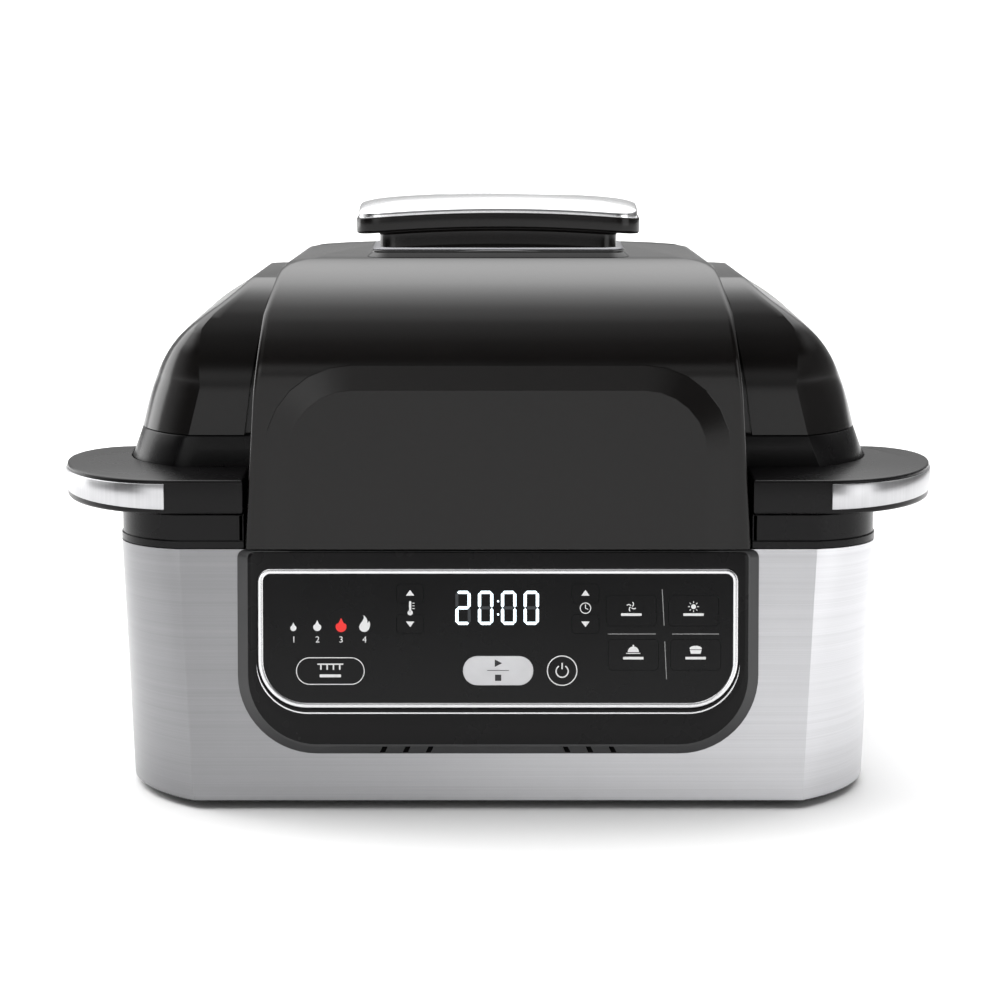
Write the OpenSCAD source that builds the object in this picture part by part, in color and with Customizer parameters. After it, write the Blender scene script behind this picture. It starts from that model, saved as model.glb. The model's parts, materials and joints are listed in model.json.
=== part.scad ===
// Countertop electric grill with a hinged lid, as an assembly of separate pieces.
// Front is -Y, up is +Z, the origin is on the table under the middle of the appliance.

/* [Body] */
// Width of the metal body at its top edge
body_top_w = 367.6; // [340:1:400]
// Width of the metal body at its bottom edge
body_bottom_w = 363; // [340:1:400]
// Width of the flat front panel between its two creases, at the top edge
crease_top_w = 305.4; // [280:1:310]
// Width of the flat front panel between its two creases, at the bottom edge
crease_bottom_w = 292.8; // [280:1:310]
// How sharply the corner turns at the top of each crease, in degrees
crease_top_turn = 10; // [5:1:20]
// How sharply the corner turns at the bottom of each crease, in degrees
crease_bottom_turn = 38; // [20:1:40]
// Distance from the middle to the front face at the top edge
front_top_y = 157; // [150:1:162]
// Distance from the middle to the front face at the bottom edge
front_bottom_y = 168; // [160:1:170]
// Distance from the middle to the rear wall
rear_y = 152; // [148:1:156]
// Radius of the two rear corners
rear_corner_r = 45; // [30:1:60]
// Height of the metal body's top edge above the table
wrap_top_z = 124.5; // [118:0.5:132]
// Height of the metal body's bottom edge above the table
wrap_bottom_z = 4; // [3:0.5:6]
// Thickness of the metal sheet
steel_t = 1; // [0.8:0.1:1.4]
// Wall of the moulded housings
wall_t = 2.5; // [2:0.1:3]
// Height of the rubber feet
foot_h = 3; // [2:0.5:5]
// Radius of the rubber feet
foot_r = 10; // [7:1:14]

/* [Lid] */
// Height of the joint between the base and the lid, at the sides
lid_line_z = 173.5; // [168:0.5:180]
// Height of the lid's centre cover above the table, at its front crease
lid_top_z = 258.5; // [254:0.5:266]
// Height of the lid's two shoulders above the table, at their front crease
shoulder_top_z = 247; // [242:0.5:252]
// How much lower the lid's top is at the back than at its front creases
lid_fall = 6; // [3:0.5:8]
// Distance from the middle to the shoulders' front face
shoulder_front_y = 112; // [108:1:118]
// Distance from the middle to the lid's rear wall
lid_rear_y = 148; // [144:1:150]
// Distance from the middle to the front of the centre cover
cover_front_y = 160; // [156:1:164]
// Height of the centre cover's lower front edge above the table
cover_bottom_z = 125; // [122:0.5:130]
// Half width of the centre cover at its lower edge
cover_half_bottom = 121; // [118:0.5:124]
// Half width of the centre cover where its sides reach the top crease
cover_half_top = 107.4; // [102:0.5:112]
// Gap between the centre cover's side and the shoulder beside it, at the lid's lower edge
channel_gap_low = 6.3; // [4:0.1:8]
// The same gap at the shoulders' top
channel_gap_top = 1.3; // [0.8:0.1:3]
// Depth of the channel that this gap makes
channel_depth = 6; // [4:0.5:8]
// Height of the raised front panel's upper edge above the table
boss_top_z = 213.6; // [206:0.5:218]
// Half width of the raised front panel at its outer edge
boss_half_w = 111.3; // [104:0.5:114]
// How far the raised front panel stands out
boss_h = 2.2; // [1.5:0.1:3]
// Width of the bevel round the raised front panel
boss_bevel = 12; // [8:0.5:14]

/* [Lid handle] */
// Half width of the lid handle's grip
grip_half_w = 69.6; // [60:0.5:76]
// Distance from the middle to the front edge of the grip
grip_front_y = 98; // [94:1:102]
// Depth of the grip from front to back
grip_depth = 68; // [60:1:76]
// Height of the underside of the grip above the centre cover, at its middle
grip_lift = 14.9; // [12:0.1:18]
// Thickness of the black grip
grip_t = 7.8; // [6:0.2:9]
// How much lower the ends of the grip are than its middle
grip_sag = 3.2; // [1:0.1:5]
// Height of the metal cap at its crown
cap_h = 7.4; // [5:0.1:10]
// Half width of the handle's neck
neck_half_w = 58.4; // [50:0.5:64]
// Depth of the handle's neck from front to back
neck_depth = 48; // [40:1:54]

/* [Side handles] */
// Width across the two side handles
overall_w = 430; // [410:1:440]
// Height of the side handles' top face above the table
handle_top_z = 158; // [154:0.5:162]
// Thickness of the side handles
handle_t = 16.5; // [14:0.5:18]
// Height of the handles' bright strip
strip_h = 10.6; // [8:0.2:12]
// How far the bright strip stands out of the handle
strip_t = 0.8; // [0.6:0.1:1.2]

/* [Control panel] */
// Half width of the control panel's bezel
bezel_half_w = 124.8; // [120:0.2:128]
// Height of the bezel's lower edge above the table
bezel_bottom_z = 26.6; // [24:0.2:32]
// Radius of the bezel's lower corners
bezel_corner_r = 38; // [30:1:42]
// How far the bezel stands out of the metal front
bezel_t = 6; // [5:0.2:7]
// Half width of the bright ring's outside
ring_half_w = 114.6; // [110:0.2:116]
// Distance up the panel from its lower edge to the bottom of the ring
ring_y0 = 22.7; // [20:0.1:26]
// Distance up the panel from its lower edge to the top of the ring
ring_y1 = 89.4; // [86:0.1:92]
// Radius of the ring's lower corners
ring_lower_r = 23; // [16:1:26]
// Radius of the ring's upper corners
ring_upper_r = 6; // [4:0.5:8]
// Width of the bright ring
ring_w = 2.4; // [1.6:0.1:3]
// Travel of the keys
key_travel = 0.5; // [0.3:0.1:0.6]

/* [Cooking] */
// Half width of the pot's inside
pot_half_x = 121; // [112:1:122]
// Half depth of the pot's inside
pot_half_y = 109; // [104:1:109]
// Depth of the pot's inside
pot_depth = 102; // [80:1:106]
// Radius of the pot's corners
pot_corner_r = 28; // [20:1:36]
// Wall of the pot
pot_t = 1.5; // [1.2:0.1:2]
// Height of the grill plate above the pot's floor
grate_lift = 34; // [20:1:50]
// Thickness of the grill plate
grate_t = 9; // [6:0.5:12]
// Number of slots in the grill plate
grate_slots = 11; // [7:2:13]
// Diameter of the hot-air fan
fan_d = 150; // [120:1:160]
// Number of blades on the hot-air fan
fan_blades = 10; // [6:1:14]
// Radius of the heating element's loop
element_r = 92; // [84:1:94]
// Diameter of the heating element's tube
element_d = 6.5; // [6:0.5:8]

/* [Fits] */
// Gap between pieces that sit inside one another
seat_gap = 0.3; // [0.2:0.05:0.5]
// Radial clearance of pins and shafts in their bores
run_gap = 0.05; // [0.02:0.01:0.09]
// Radius of the hinge pins
hinge_pin_r = 3; // [2.5:0.1:3.5]
// Distance of each hinge from the middle
hinge_x = 84; // [70:1:92]
// Radius of the motor shaft
shaft_r = 3; // [2.5:0.1:4]
// Radius of the screws
screw_r = 1.7; // [1.4:0.1:2]

/* [Hidden] */

$fn = 48;
cut = 1;                                    // how far a cut runs past the face it opens

black = [0.06, 0.06, 0.07];
soft_black = [0.12, 0.12, 0.13];
steel = [0.75, 0.75, 0.77];
bright = [0.85, 0.85, 0.87];
dark_metal = [0.25, 0.25, 0.26];
board_green = [0.1, 0.3, 0.2];

// Heights
pan_wall_top_z = 14;                        // top of the bottom pan's side wall
handle_bottom_z = handle_top_z - handle_t;
deck_z = lid_line_z - seat_gap;             // top face of the base
ledge_z = deck_z - 3;                       // face that the well's flange hangs on
well_flange_t = 1;
pot_rim_z = ledge_z + well_flange_t;        // underside of the pot's rim
pot_rim_t = 1.5;
pot_floor_z = pot_rim_z + pot_rim_t - pot_depth;
well_floor_z = pot_floor_z - pot_t - 6;
grate_z = pot_floor_z + grate_lift;

// The pot, the well and everything above them share this centre
cook_y = 16;
well_half_x = pot_half_x + pot_t + 3.5;     // outside of the well's wall
well_half_y = pot_half_y + pot_t + 3.5;
well_corner_r = pot_corner_r + pot_t + 3.5;
rim_w = 4.5;                                // width of the well's flange

// Upper part of the base and the lid's shoulders
collar_crease_low = 157.7;                  // corner of the collar where it leaves the handles
collar_lean = 5.7;                          // how far the collar's sides lean in
crease_lean = 6.1;                          // how far its corners lean in
collar_crease_top = collar_crease_low - crease_lean;
collar_half_top = body_top_w / 2 - collar_lean;
collar_turn = 30;                           // how sharply these corners turn
visor_gap = 0.8;                            // room round the cover where it dips in front

// Hinge
hinge_y = rear_y + 9;
hinge_z = lid_line_z + 1.5;
knuckle_r = hinge_pin_r + 3.5;
knuckle_w = 8;

// The panel leans back with the metal front
function mix(a, b, u) = a + (b - a) * u;
function body_share(z) = (z - wrap_bottom_z) / (wrap_top_z - wrap_bottom_z);
panel_tilt = atan((front_bottom_y - front_top_y) / (wrap_top_z - wrap_bottom_z));
function face_y(z) = mix(front_bottom_y, front_top_y, body_share(z));
panel_h = (wrap_top_z - bezel_bottom_z) / cos(panel_tilt);
bezel_bevel = 5.6;                          // width of the bevel along the bezel's lower edge
front_most = face_y(bezel_bottom_z) - bezel_bevel * sin(panel_tilt) + bezel_t * cos(panel_tilt);

// ---- helpers ---------------------------------------------------------------------------

function arc(c, r, from, to, n) =
    [for (i = [0:n]) let (a = from + (to - from) * i / n) [c.x + r * cos(a), c.y + r * sin(a)]];
function oval(c, a, b, from, to, n) =
    [for (i = [0:n]) let (t = from + (to - from) * i / n) [c.x + a * cos(t), c.y + b * sin(t)]];
function both_sides(half) =
    concat(half, [for (i = [len(half) - 1:-1:0]) [-half[i].x, half[i].y]]);

// Plan with a creased front corner: the front is flat as far as the crease, then an arc that
// starts off by a turn runs into the straight side, and the rear corner is round.
function creased_plan(half_w, crease, front, turn, rear, inset) =
    let (r = (half_w - crease) / (1 - sin(turn)),
         c = [half_w - r, -front + r * cos(turn)],
         r_in = r - inset,
         start = -asin((r * cos(turn) - inset) / r_in))
    both_sides(concat(arc(c, r_in, start, 0, 12),
                      arc([half_w - rear_corner_r, rear - rear_corner_r],
                          rear_corner_r - inset, 0, 90, 10)));

// Plan of the body at a height: straight lines run from its lower plan to its upper one
function body_plan(z, inset) =
    let (low = creased_plan(body_bottom_w / 2, crease_bottom_w / 2, front_bottom_y,
                            crease_bottom_turn, rear_y, inset),
         high = creased_plan(body_top_w / 2, crease_top_w / 2, front_top_y,
                             crease_top_turn, rear_y, inset))
    [for (i = [0:len(low) - 1]) mix(low[i], high[i], body_share(z))];
function collar_plan(top, inset) =
    creased_plan(top ? collar_half_top : body_top_w / 2,
                 top ? collar_crease_top : collar_crease_low,
                 shoulder_front_y, collar_turn, rear_y, inset);

// Outline with one radius at its lower corners and another at its upper ones
function panel_outline(half_w, y0, y1, lower_r, upper_r) =
    both_sides(concat(arc([half_w - lower_r, y0 + lower_r], lower_r, -90, 0, 12),
                      arc([half_w - upper_r, y1 - upper_r], upper_r, 0, 90, 6)));
function rounded_plan(half_x, half_y, r) =
    both_sides(concat(arc([half_x - r, -half_y + r], r, -90, 0, 10),
                      arc([half_x - r, half_y - r], r, 0, 90, 10)));

module slab(points, z0, z1) {
    translate([0, 0, z0]) linear_extrude(z1 - z0) polygon(points);
}
module cook_slab(half_x, half_y, r, z0, z1) {
    translate([0, cook_y, 0]) slab(rounded_plan(half_x, half_y, r), z0, z1);
}
// Solid between two outlines with as many points each, the lower one at z0
module taper(low, high, z0, z1) {
    n = len(low);
    polyhedron(points = concat([for (p = low) [p.x, p.y, z0]], [for (p = high) [p.x, p.y, z1]]),
               faces = concat([[for (i = [0:n - 1]) i]], [[for (i = [n - 1:-1:0]) n + i]],
                              [for (i = [0:n - 1]) [i, n + i, n + (i + 1) % n]],
                              [for (i = [0:n - 1]) [i, n + (i + 1) % n, (i + 1) % n]]));
}
// Solid of the tapering body between two heights
module body_solid(z0, z1, inset) {
    taper(body_plan(z0, inset), body_plan(z1, inset), z0, z1);
}
module body_ring(z0, z1, inset, t) {
    difference() {
        body_solid(z0, z1, inset);
        body_solid(z0 - cut, z1 + cut, inset + t);
    }
}
// Profile in X and Z, drawn out along Y
module along_y(points, y0, y1) {
    translate([0, y1, 0]) rotate([90, 0, 0]) linear_extrude(y1 - y0) polygon(points);
}
// Profile in Y and Z, drawn out along X
module along_x(points, half_w) {
    translate([-half_w, 0, 0]) rotate([90, 0, 90]) linear_extrude(2 * half_w) polygon(points);
}
module both_x() {
    children();
    mirror([1, 0, 0]) children();
}
module tube(r, hole_r, h) {
    difference() {
        cylinder(r = r, h = h);
        translate([0, 0, -cut]) cylinder(r = hole_r, h = h + 2 * cut);
    }
}
module bar_x(r, x0, x1) {
    translate([x0, 0, 0]) rotate([0, 90, 0]) cylinder(r = r, h = x1 - x0);
}
// Screw standing on its head, with the shank going up
module screw(r, length, head_r, head_h) {
    cylinder(r = head_r, h = head_h);
    cylinder(r = r, h = head_h + length);
}

// ---- base ------------------------------------------------------------------------------

pan_inset = steel_t + seat_gap;
frame_inset = steel_t + seat_gap;
frame_bottom_z = pan_wall_top_z + seat_gap;
frame_top_z = wrap_top_z - 3;
foot_spots = [[140, -112], [140, 116]];
screw_spots = [[150, -70], [150, 80]];
screw_head_r = 3.4;
screw_head_h = 2;
boss_r = 5;
boss_up = 24;                               // height of the frame's screw bosses
boss_rib_t = 2.4;
screw_bite = 16;                            // how far the base screws reach into the frame
pan_slot_w = 4;
pan_slot_l = 60;

module foot_and_screw_holes(r) {
    both_x() for (p = screw_spots)
        translate([p.x, p.y, 0]) cylinder(r = r, h = frame_bottom_z + boss_up);
}

pan_post_h = 16;
power_w = 150;
power_d = 90;
power_y = 30;
power_post_r = 3.5;
power_post_inset = 6;
module at_power_corners() {
    for (x = [-1, 1], y = [-1, 1])
        translate([x * (power_w / 2 - power_post_inset),
                   power_y + y * (power_d / 2 - power_post_inset), 0]) children();
}

module base_pan() {
    color(soft_black) {
        difference() {
            body_solid(foot_h, pan_wall_top_z, pan_inset);
            body_solid(foot_h + wall_t, pan_wall_top_z + cut, pan_inset + wall_t);
            foot_and_screw_holes(screw_r + run_gap);
            both_x() for (p = screw_spots)
                translate([p.x, p.y, 0]) cylinder(r = screw_head_r + seat_gap, h = foot_h + 0.5);
            for (x = [-80:20:80])
                translate([x - pan_slot_w / 2, -95, 0])
                    cube([pan_slot_w, pan_slot_l, foot_h + wall_t + cut]);
        }
        both_x() for (p = screw_spots) translate([p.x, p.y, foot_h + 1])
            tube(boss_r, screw_r + run_gap, pan_wall_top_z - foot_h - 1);
        at_power_corners()
            translate([0, 0, foot_h + 1]) cylinder(r = power_post_r, h = pan_post_h);
    }
}

module rubber_feet() {
    color(soft_black) both_x() for (p = foot_spots)
        translate([p.x, p.y, 0]) {
            cylinder(r1 = foot_r - 1, r2 = foot_r, h = 1);
            translate([0, 0, 1]) cylinder(r = foot_r, h = foot_h - 1);
        }
}

module base_screws() {
    color(steel) both_x() for (p = screw_spots)
        translate([p.x, p.y, foot_h - screw_head_h + 0.4])
            screw(screw_r, frame_bottom_z + screw_bite - foot_h, screw_head_r, screw_head_h);
}

module base_frame() {
    color(black) {
        difference() {
            body_ring(frame_bottom_z, frame_top_z, frame_inset, wall_t);
            on_panel() slab(skirt_outline(3), -30, 30);
            rear_air_slots();
        }
        both_x() for (p = screw_spots) {
            translate([p.x, p.y, frame_bottom_z]) tube(boss_r, screw_r + run_gap, boss_up);
            translate([p.x + boss_r - 1, p.y - boss_rib_t / 2, frame_bottom_z])
                cube([body_bottom_w / 2 - frame_inset - p.x - boss_r, boss_rib_t, boss_up]);
        }
    }
}

air_slots = 9;
air_slot_pitch = 16;
air_slot_w = 6;
air_slot_h = 40;
air_slot_z = 60;
module rear_air_slots() {
    for (i = [0:air_slots - 1])
        translate([(i - (air_slots - 1) / 2) * air_slot_pitch - air_slot_w / 2,
                   rear_y - frame_inset - 2 * wall_t, air_slot_z])
            cube([air_slot_w, frame_inset + 3 * wall_t, air_slot_h]);
}

module steel_wrap() {
    color(steel) difference() {
        body_ring(wrap_bottom_z, wrap_top_z, 0, steel_t);
        on_panel() slab(skirt_outline(0.6), -30, 30);
        rear_air_slots();
    }
}

// Rear cover with the mains inlet
cover_box_half = 105;
cover_box_z0 = 26;
cover_box_z1 = 128;
inlet_flange_t = 2;
inlet_r = 8;
inlet_bore_r = 3.6;
inlet_x = -66;
inlet_z = 46;
rear_cover_y = front_most - inlet_flange_t;
module rear_box(inset, y0, y1) {
    side = panel_outline(cover_box_half - inset, cover_box_z0 + inset, cover_box_z1 - inset,
                         12 - inset, 12 - inset);
    along_y(side, y0, y1);
}
module rear_cover() {
    color(black) difference() {
        rear_box(0, rear_y + seat_gap, rear_cover_y);
        rear_box(wall_t, rear_y - cut, rear_cover_y - wall_t);
        translate([inlet_x, rear_cover_y, inlet_z]) rotate([90, 0, 0])
            cylinder(r = inlet_r + run_gap, h = 2 * wall_t + cut, center = true);
        for (z = [66:8:110])
            translate([-70, rear_cover_y - wall_t - cut, z]) cube([140, wall_t + 2 * cut, 3.5]);
    }
}

module cord_inlet() {
    color(soft_black) translate([inlet_x, rear_cover_y + inlet_flange_t, inlet_z])
        rotate([90, 0, 0]) difference() {
            union() {
                cylinder(r = inlet_r + 3, h = inlet_flange_t);
                cylinder(r = inlet_r, h = inlet_flange_t + 9);
            }
            translate([0, 0, -cut]) cylinder(r = inlet_bore_r, h = 20);
        }
}

// ---- upper collar ----------------------------------------------------------------------

shelf_top_z = handle_bottom_z - seat_gap;   // shelf that carries the handles' front ends
shelf_z = shelf_top_z - wall_t;
band_bottom_z = wrap_top_z + seat_gap;
notch_half = cover_half_bottom + visor_gap;
notch_floor_z = wrap_top_z - 0.4;
recess_half_x = well_half_x + rim_w + seat_gap;
recess_half_y = well_half_y + rim_w + seat_gap;
recess_r = well_corner_r + rim_w;
tongue_inset = frame_inset + wall_t + 1;

module notch(z0, z1, grow) {
    translate([-notch_half + grow, -front_bottom_y, z0])
        cube([2 * (notch_half - grow), front_bottom_y - shoulder_front_y - grow, z1 - z0]);
}
module collar_skin(inset) {
    slab(collar_plan(false, inset), shelf_z - (inset > 0 ? cut : 0), handle_top_z);
    taper(collar_plan(false, inset), collar_plan(true, inset), handle_top_z, deck_z);
}
module upper_collar() {
    rim_plan = body_plan(wrap_top_z, 0);
    color(black) difference() {
        union() {
            // band on top of the metal and its tongue inside the frame
            difference() {
                slab(rim_plan, band_bottom_z, shelf_top_z);
                slab(body_plan(wrap_top_z, wall_t), band_bottom_z - cut, shelf_z);
                slab(collar_plan(false, wall_t), shelf_z - cut, shelf_top_z + cut);
                notch(band_bottom_z - cut, shelf_top_z + cut, 0);
            }
            difference() {
                slab(body_plan(wrap_top_z, tongue_inset), frame_top_z - 9, shelf_z + 1);
                slab(body_plan(wrap_top_z, tongue_inset + wall_t), 0, shelf_z + 2);
                notch(0, shelf_z + 2, 0);
            }
            // lip that joins the tongue to the band
            difference() {
                slab(body_plan(wrap_top_z, 1), band_bottom_z, band_bottom_z + wall_t);
                slab(body_plan(wrap_top_z, tongue_inset + wall_t), 0, shelf_z);
                notch(0, shelf_z, 0);
            }
            // walls and floor of the dip for the centre cover
            both_x() translate([notch_half, -front_top_y + wall_t, notch_floor_z - wall_t])
                cube([wall_t, front_top_y - shoulder_front_y, shelf_top_z - notch_floor_z + wall_t]);
            translate([-notch_half - wall_t, -front_top_y + tongue_inset, notch_floor_z - wall_t])
                cube([2 * (notch_half + wall_t),
                      front_top_y - tongue_inset - shoulder_front_y + wall_t, wall_t]);
            translate([-notch_half - wall_t, -shoulder_front_y, notch_floor_z - wall_t])
                cube([2 * (notch_half + wall_t), wall_t, shelf_top_z - notch_floor_z + wall_t]);
            // upper walls and the deck round the well
            difference() {
                collar_skin(0);
                difference() {
                    collar_skin(wall_t);
                    slab(collar_plan(true, 0), deck_z - wall_t, deck_z + cut);
                }
            }
            cook_slab(recess_half_x + wall_t, recess_half_y + wall_t, recess_r + wall_t,
                      ledge_z - wall_t, deck_z - 1);
        }
        cook_slab(recess_half_x, recess_half_y, recess_r, ledge_z, deck_z + cut);
        cook_slab(well_half_x + seat_gap, well_half_y + seat_gap, well_corner_r,
                  shelf_z - 60, deck_z + cut);
        both_x() handle_screw_places(screw_r + run_gap);
        both_x() for (p = hinge_screw_spots)
            translate([hinge_x - p.x, rear_y, p.y]) rotate([90, 0, 0])
                cylinder(r = screw_r + run_gap, h = 20, center = true);
    }
}

// ---- side handles ----------------------------------------------------------------------

handle_front_y = front_top_y + 1;
handle_bend_x = 157;                        // where the handle's front edge starts to curve
handle_tip_y = 82;                          // the widest point of the handle lies this far forward
handle_back_x = 185;                        // the handle's rear curve turns about this line
handle_back_b = 42;
strip_back_y = 54;                          // the bright strip ends this far forward
handle_half_w = overall_w / 2 - strip_t;

function handle_plan(grow) =
    let (start = notch_half + seat_gap, front = handle_front_y + grow, tip = handle_half_w + grow)
    concat([[start, -front]],
           oval([handle_bend_x, -handle_tip_y], tip - handle_bend_x, front - handle_tip_y,
                -90, 0, 20),
           oval([handle_back_x, -handle_tip_y], tip - handle_back_x, handle_back_b + grow,
                6, 90, 14),
           [[160, -handle_tip_y + handle_back_b], [start, -shoulder_front_y + 10]]);

handle_screw_x = notch_half + 16;
handle_screw_front = -shoulder_front_y - 22;
handle_screw_side = -62;
handle_screw_z = handle_top_z - handle_t / 2;
handle_bite = 7;                            // how far these screws reach into the handle
module handle_screw_places(r) {
    translate([handle_screw_x, handle_screw_front, shelf_z - screw_head_h])
        cylinder(r = r, h = wall_t + handle_bite + 2.5);
    translate([body_top_w / 2 - wall_t - screw_head_h, handle_screw_side, handle_screw_z])
        bar_x(r, 0, wall_t + handle_bite + 4.5);
}
module side_handle() {
    color(black) difference() {
        slab(handle_plan(0), handle_bottom_z, handle_top_z);
        slab(collar_plan(false, -seat_gap), handle_bottom_z - cut, handle_top_z + cut);
        handle_screw_places(screw_r + run_gap);
    }
}
module handle_strip() {
    strip_z = (handle_bottom_z + handle_top_z - strip_h) / 2;
    color(bright) difference() {
        slab(handle_plan(strip_t), strip_z, strip_z + strip_h);
        slab(handle_plan(0), strip_z - cut, strip_z + strip_h + cut);
        translate([0, -2 * front_bottom_y, 0])
            cube([handle_bend_x, 2 * front_bottom_y, handle_top_z]);
        translate([0, -strip_back_y, 0]) cube([overall_w, front_bottom_y, handle_top_z]);
    }
}
module right_handle() { side_handle(); }
module left_handle() { mirror([1, 0, 0]) side_handle(); }
module right_handle_strip() { handle_strip(); }
module left_handle_strip() { mirror([1, 0, 0]) handle_strip(); }

module handle_screws() {
    color(steel) both_x() {
        translate([handle_screw_x, handle_screw_front, shelf_z - screw_head_h])
            screw(screw_r, wall_t + handle_bite, screw_head_r, screw_head_h);
        translate([body_top_w / 2 - wall_t - screw_head_h, handle_screw_side, handle_screw_z])
            rotate([0, 90, 0])
                screw(screw_r, wall_t + handle_bite + 2, screw_head_r, screw_head_h);
    }
}

// ---- well, pot and grill plate ---------------------------------------------------------

module tub(half_x, half_y, r, floor_z, top_z, t) {
    difference() {
        cook_slab(half_x, half_y, r, floor_z, top_z);
        cook_slab(half_x - t, half_y - t, r - t, floor_z + t, top_z + cut);
    }
}
module rim(half_x, half_y, r, w, z0, t) {
    difference() {
        cook_slab(half_x + w, half_y + w, r + w, z0, z0 + t);
        cook_slab(half_x - 0.5, half_y - 0.5, r - 0.5, z0 - cut, z0 + t + cut);
    }
}
module well_liner() {
    color(steel) {
        tub(well_half_x, well_half_y, well_corner_r, well_floor_z, pot_rim_z, 1);
        rim(well_half_x, well_half_y, well_corner_r, rim_w, ledge_z, well_flange_t);
    }
}
module cooking_pot() {
    color(dark_metal) {
        tub(pot_half_x + pot_t, pot_half_y + pot_t, pot_corner_r + pot_t,
            pot_floor_z - pot_t, pot_rim_z + pot_rim_t, pot_t);
        rim(pot_half_x + pot_t, pot_half_y + pot_t, pot_corner_r + pot_t, 6.5,
            pot_rim_z, pot_rim_t);
    }
}

grate_gap = 3;                              // room between the grill plate and the pot's wall
grate_leg_r = 5;
slot_w = 7;
rib_h = 2.5;
module grill_grate() {
    half_x = pot_half_x - grate_gap;
    half_y = pot_half_y - grate_gap;
    r = pot_corner_r - grate_gap;
    pitch = 2 * (half_x - 12) / grate_slots;
    slot_half_y = half_y - 16;
    color(dark_metal) {
        difference() {
            cook_slab(half_x, half_y, r, grate_z, grate_z + grate_t);
            for (i = [0:grate_slots - 1])
                translate([(i - (grate_slots - 1) / 2) * pitch - slot_w / 2,
                           cook_y - slot_half_y, grate_z - cut])
                    cube([slot_w, 2 * slot_half_y, grate_t + 2 * cut]);
        }
        for (i = [0:grate_slots - 2])
            translate([(i - (grate_slots - 2) / 2) * pitch - 2.5, cook_y - slot_half_y,
                       grate_z + grate_t - 0.5])
                cube([5, 2 * slot_half_y, rib_h + 0.5]);
        for (x = [-1, 1], y = [-1, 1])
            translate([x * (half_x - 20), cook_y + y * (half_y - 8 - grate_leg_r), pot_floor_z])
                cylinder(r = grate_leg_r, h = grate_lift + 1);
    }
}

// ---- control panel ---------------------------------------------------------------------

// On the panel x runs to the right, y up along its face and z out of it
skirt_inset = 10;
skirt_depth = 9;
module on_panel() {
    translate([0, -face_y(bezel_bottom_z), bezel_bottom_z]) rotate([90 - panel_tilt, 0, 0])
        children();
}
function skirt_outline(grow) =
    panel_outline(bezel_half_w - skirt_inset + grow, skirt_inset - grow, panel_h - 3 + grow,
                  bezel_corner_r - skirt_inset + grow, 3 + grow);

overlay_t = 1.6;
ring_proud = 0.3;
pocket_z = bezel_t - 0.2 - overlay_t;       // floor of the bezel's pocket
plate_back_z = pocket_z - 1.5;              // back of the bezel's front plate
window_y0 = 30;
window_y1 = 86;
board_z = -6.4;
board_t = 1.6;
board_front_z = board_z + board_t;
board_half_w = 108;
board_y0 = 29;
board_y1 = 87;
board_hole_x = 103;
board_hole_spots = [for (x = [-board_hole_x, board_hole_x],
                         y = [board_y0 - 2.5, board_y1 + 1.6]) [x, y]];

module ring_outline(grow) {
    polygon(panel_outline(ring_half_w + grow, ring_y0 - grow, ring_y1 + grow,
                          ring_lower_r + grow, ring_upper_r + grow));
}
module control_bezel() {
    color(black) on_panel() difference() {
        union() {
            taper(panel_outline(bezel_half_w, 0, panel_h, bezel_corner_r, 4),
                  panel_outline(bezel_half_w - bezel_bevel, bezel_bevel, panel_h - 1,
                                bezel_corner_r - bezel_bevel, 3), seat_gap, bezel_t);
            slab(skirt_outline(0), -skirt_depth, 1);
        }
        slab(skirt_outline(-wall_t), -skirt_depth - cut, plate_back_z);
        slab(panel_outline(window_half_w, window_y0, window_y1, 4, 4), -cut, bezel_t + cut);
        translate([0, 0, pocket_z]) linear_extrude(bezel_t) ring_outline(0.2);
        for (side = [-1, 1], i = [0:2])
            translate([side * (32.8 + 11 * i), 3.2, -skirt_depth]) rotate([0, 0, side * 25])
                translate([-1.2, -1.8, 0]) cube([2.4, 3.6, bezel_t + skirt_depth]);
    }
}
module panel_ring() {
    color(bright) on_panel() translate([0, 0, pocket_z])
        linear_extrude(bezel_t + ring_proud - pocket_z) difference() {
            ring_outline(0);
            ring_outline(-ring_w);
        }
}

// Each key: centre on the panel, half width, half height and corner radius
key_gap = 0.35;
grill_spot = [-80.2, 40.4];
start_spot = [0, 40.6];
power_spot = [30.6, 40.6];
temp_x = -42;
time_x = 41.7;
arrow_up_y = 77.6;
arrow_down_y = 63;
crisp_spot = [63.6, 69.4];
dehydrate_spot = [93.3, 69.4];
roast_spot = [64.6, 48.2];
bake_spot = [94.4, 48.2];
pill_size = [16.8, 7, 6.9];
power_size = [7.6, 7.6, 7.59];
arrow_size = [6.5, 4.6, 2];
function_size = [12, 7.4, 2];
KEYS = [[grill_spot, pill_size], [start_spot, pill_size], [power_spot, power_size],
        [[temp_x, arrow_up_y], arrow_size], [[temp_x, arrow_down_y], arrow_size],
        [[time_x, arrow_up_y], arrow_size], [[time_x, arrow_down_y], arrow_size],
        [crisp_spot, function_size], [dehydrate_spot, function_size],
        [roast_spot, function_size], [bake_spot, function_size]];
key_proud = 0.4;
key_flange_t = 1;
key_flange_w = 0.8;
window_half_w = bake_spot.x + function_size.x + key_flange_w + 1.2;
switch_h = 3.6;
stem_r = 1.8;
display_half_w = 24;
display_y0 = 59;
display_y1 = 84;

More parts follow.
